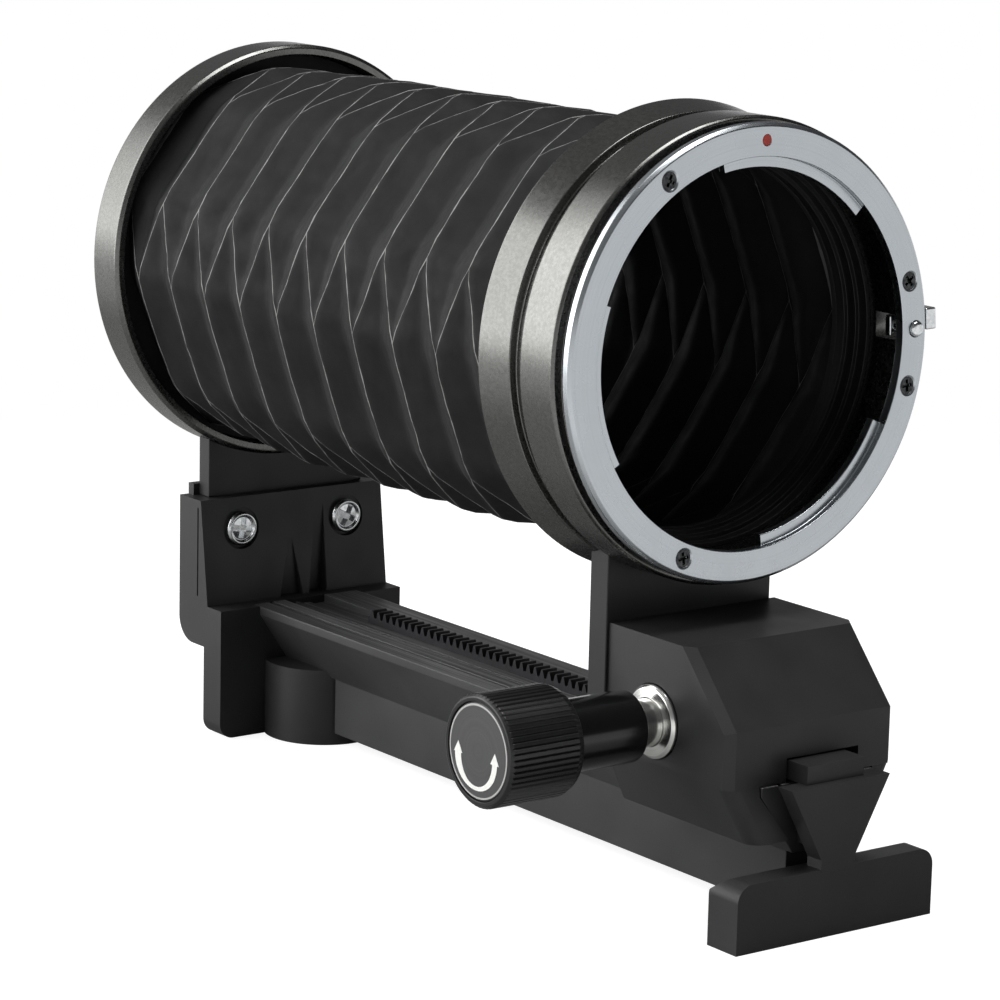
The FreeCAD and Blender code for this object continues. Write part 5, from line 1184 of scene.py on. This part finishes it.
def add_screws(node, body, slot, finish, corners, recess, face, flip, seed, spots):
    """Screws of one kind at (across, up) spots on a face; the recess is its width, depth and reach."""
    width, depth, reach = recess
    blank_mesh = turned_blank("screw_blank", corners, steps=48, size=0.1)
    blank_object = bpy.data.objects.new("screw_blank", blank_mesh)
    scene.collection.objects.link(blank_object)
    points = seeds(node, [(face, across, up) for across, up in spots])
    top = max(along for along, radius in corners)
    mesh = grow(points, tree, {"Blank": blank_object, "Reach": (2 * depth, 2 * reach, width),
                               "Second_reach": (2 * depth, width, 2 * reach), "Top": (top, 0.0, 0.0),
                               "Flip": flip, "Seed": seed, "Finish": finish}, sharp=30)
    bpy.data.objects.remove(blank_object)
    add_piece(f"{node}_made", mesh, finish, body, slot, node)


# %% [markdown]
# Pan heads hold the two plates, two on each.  Small countersunk ones hold the bayonet at the camera
# end and the mount ring at the lens end.

# %% The four sets of screws
PAN = [(-5.6, 0.0), (-5.6, 1.5), (0.0, 1.5), (0.0, 2.75), (0.75, 2.75), (1.15, 2.45),
       (1.15, 2.15), (0.75, 1.9), (1.0, 0.0)]
SMALL = [(-2.4, 0.0), (-2.4, 0.8), (-0.65, 0.8), (-0.18, 1.27), (-0.18, 0.0)]
PAN_RECESS = (1.0, 1.1, 1.75)
SMALL_RECESS = (0.45, 0.5, 0.87)
BRACKET_FACE, BRACKET_SPOTS = 7.61, [(-10.0, -43.6), (10.0, -43.6)]
PLATE_BACK, PLATE_SPOTS = 105.85, [(-10.0, -43.3), (10.0, -43.3)]
MOUNT_CIRCLE, MOUNT_ANGLES = 29.1, (122.5, 16.5, -13.0, -112.5)
BAYONET_CIRCLE, BAYONET_ANGLES = 26.9, (90.0, 180.0, 225.0, 315.0)
FORWARD, BACKWARD = 0.0, math.pi


def on_circle(radius, angles):
    """Spots on a circle about the optical axis; 0 degrees is +Y and 90 is up."""
    return [(radius * math.cos(math.radians(a)), radius * math.sin(math.radians(a))) for a in angles]


for node, body, finish, corners, recess, face, flip, seed, spots in (
        ("bracket_screws", "base", nickel, PAN, PAN_RECESS, BRACKET_FACE, FORWARD, 3, BRACKET_SPOTS),
        ("front_plate_screws", "carriage", nickel, PAN, PAN_RECESS, PLATE_BACK, BACKWARD, 5, PLATE_SPOTS),
        ("mount_screws", "carriage", blackened, SMALL, SMALL_RECESS, LENS_PLANE, FORWARD, 7,
         on_circle(MOUNT_CIRCLE, MOUNT_ANGLES)),
        ("bayonet_screws", "base", nickel, SMALL, SMALL_RECESS, 0.0, BACKWARD, 9,
         on_circle(BAYONET_CIRCLE, BAYONET_ANGLES))):
    add_screws(node, body, "nickel_steel", finish, corners, recess, face, flip, seed, spots)

# %% [markdown]
# The boss under the rear foot has a brass insert with the thread of a tripod screw, a quarter of an
# inch across with twenty turns to the inch.

# %% Tripod bush
THREAD_PITCH, THREAD_DEPTH, THREAD_TURNS = 1.27, 0.6, 5
THREAD_RADIUS, BUSH_RADIUS = 3.175, 5.2
BUSH_TOP, THREAD_TOP = -67.1, -68.6
BUSH_MIDDLE = 17.0

thread = [(FLOOR_HEIGHT, BUSH_RADIUS), (BUSH_TOP, BUSH_RADIUS), (BUSH_TOP, 0.0), (-68.1, 0.0),
          (-68.1, THREAD_RADIUS)]
for turn_count in range(THREAD_TURNS):
    top = THREAD_TOP - turn_count * THREAD_PITCH
    thread += [(top, THREAD_RADIUS), (top - THREAD_PITCH / 2, THREAD_RADIUS - THREAD_DEPTH)]
thread += [(-74.95, THREAD_RADIUS), (-75.6, THREAD_RADIUS), (FLOOR_HEIGHT, 3.6)]
upright = Matrix.Translation((BUSH_MIDDLE, 0.0, 0.0)) @ Matrix.Rotation(math.radians(-90), 4, "Y")
add_piece("tripod_thread", turned("tripod_bush", thread, steps=64, size=0.05, place=upright), brass,
          "base", "brass", "tripod_bush")
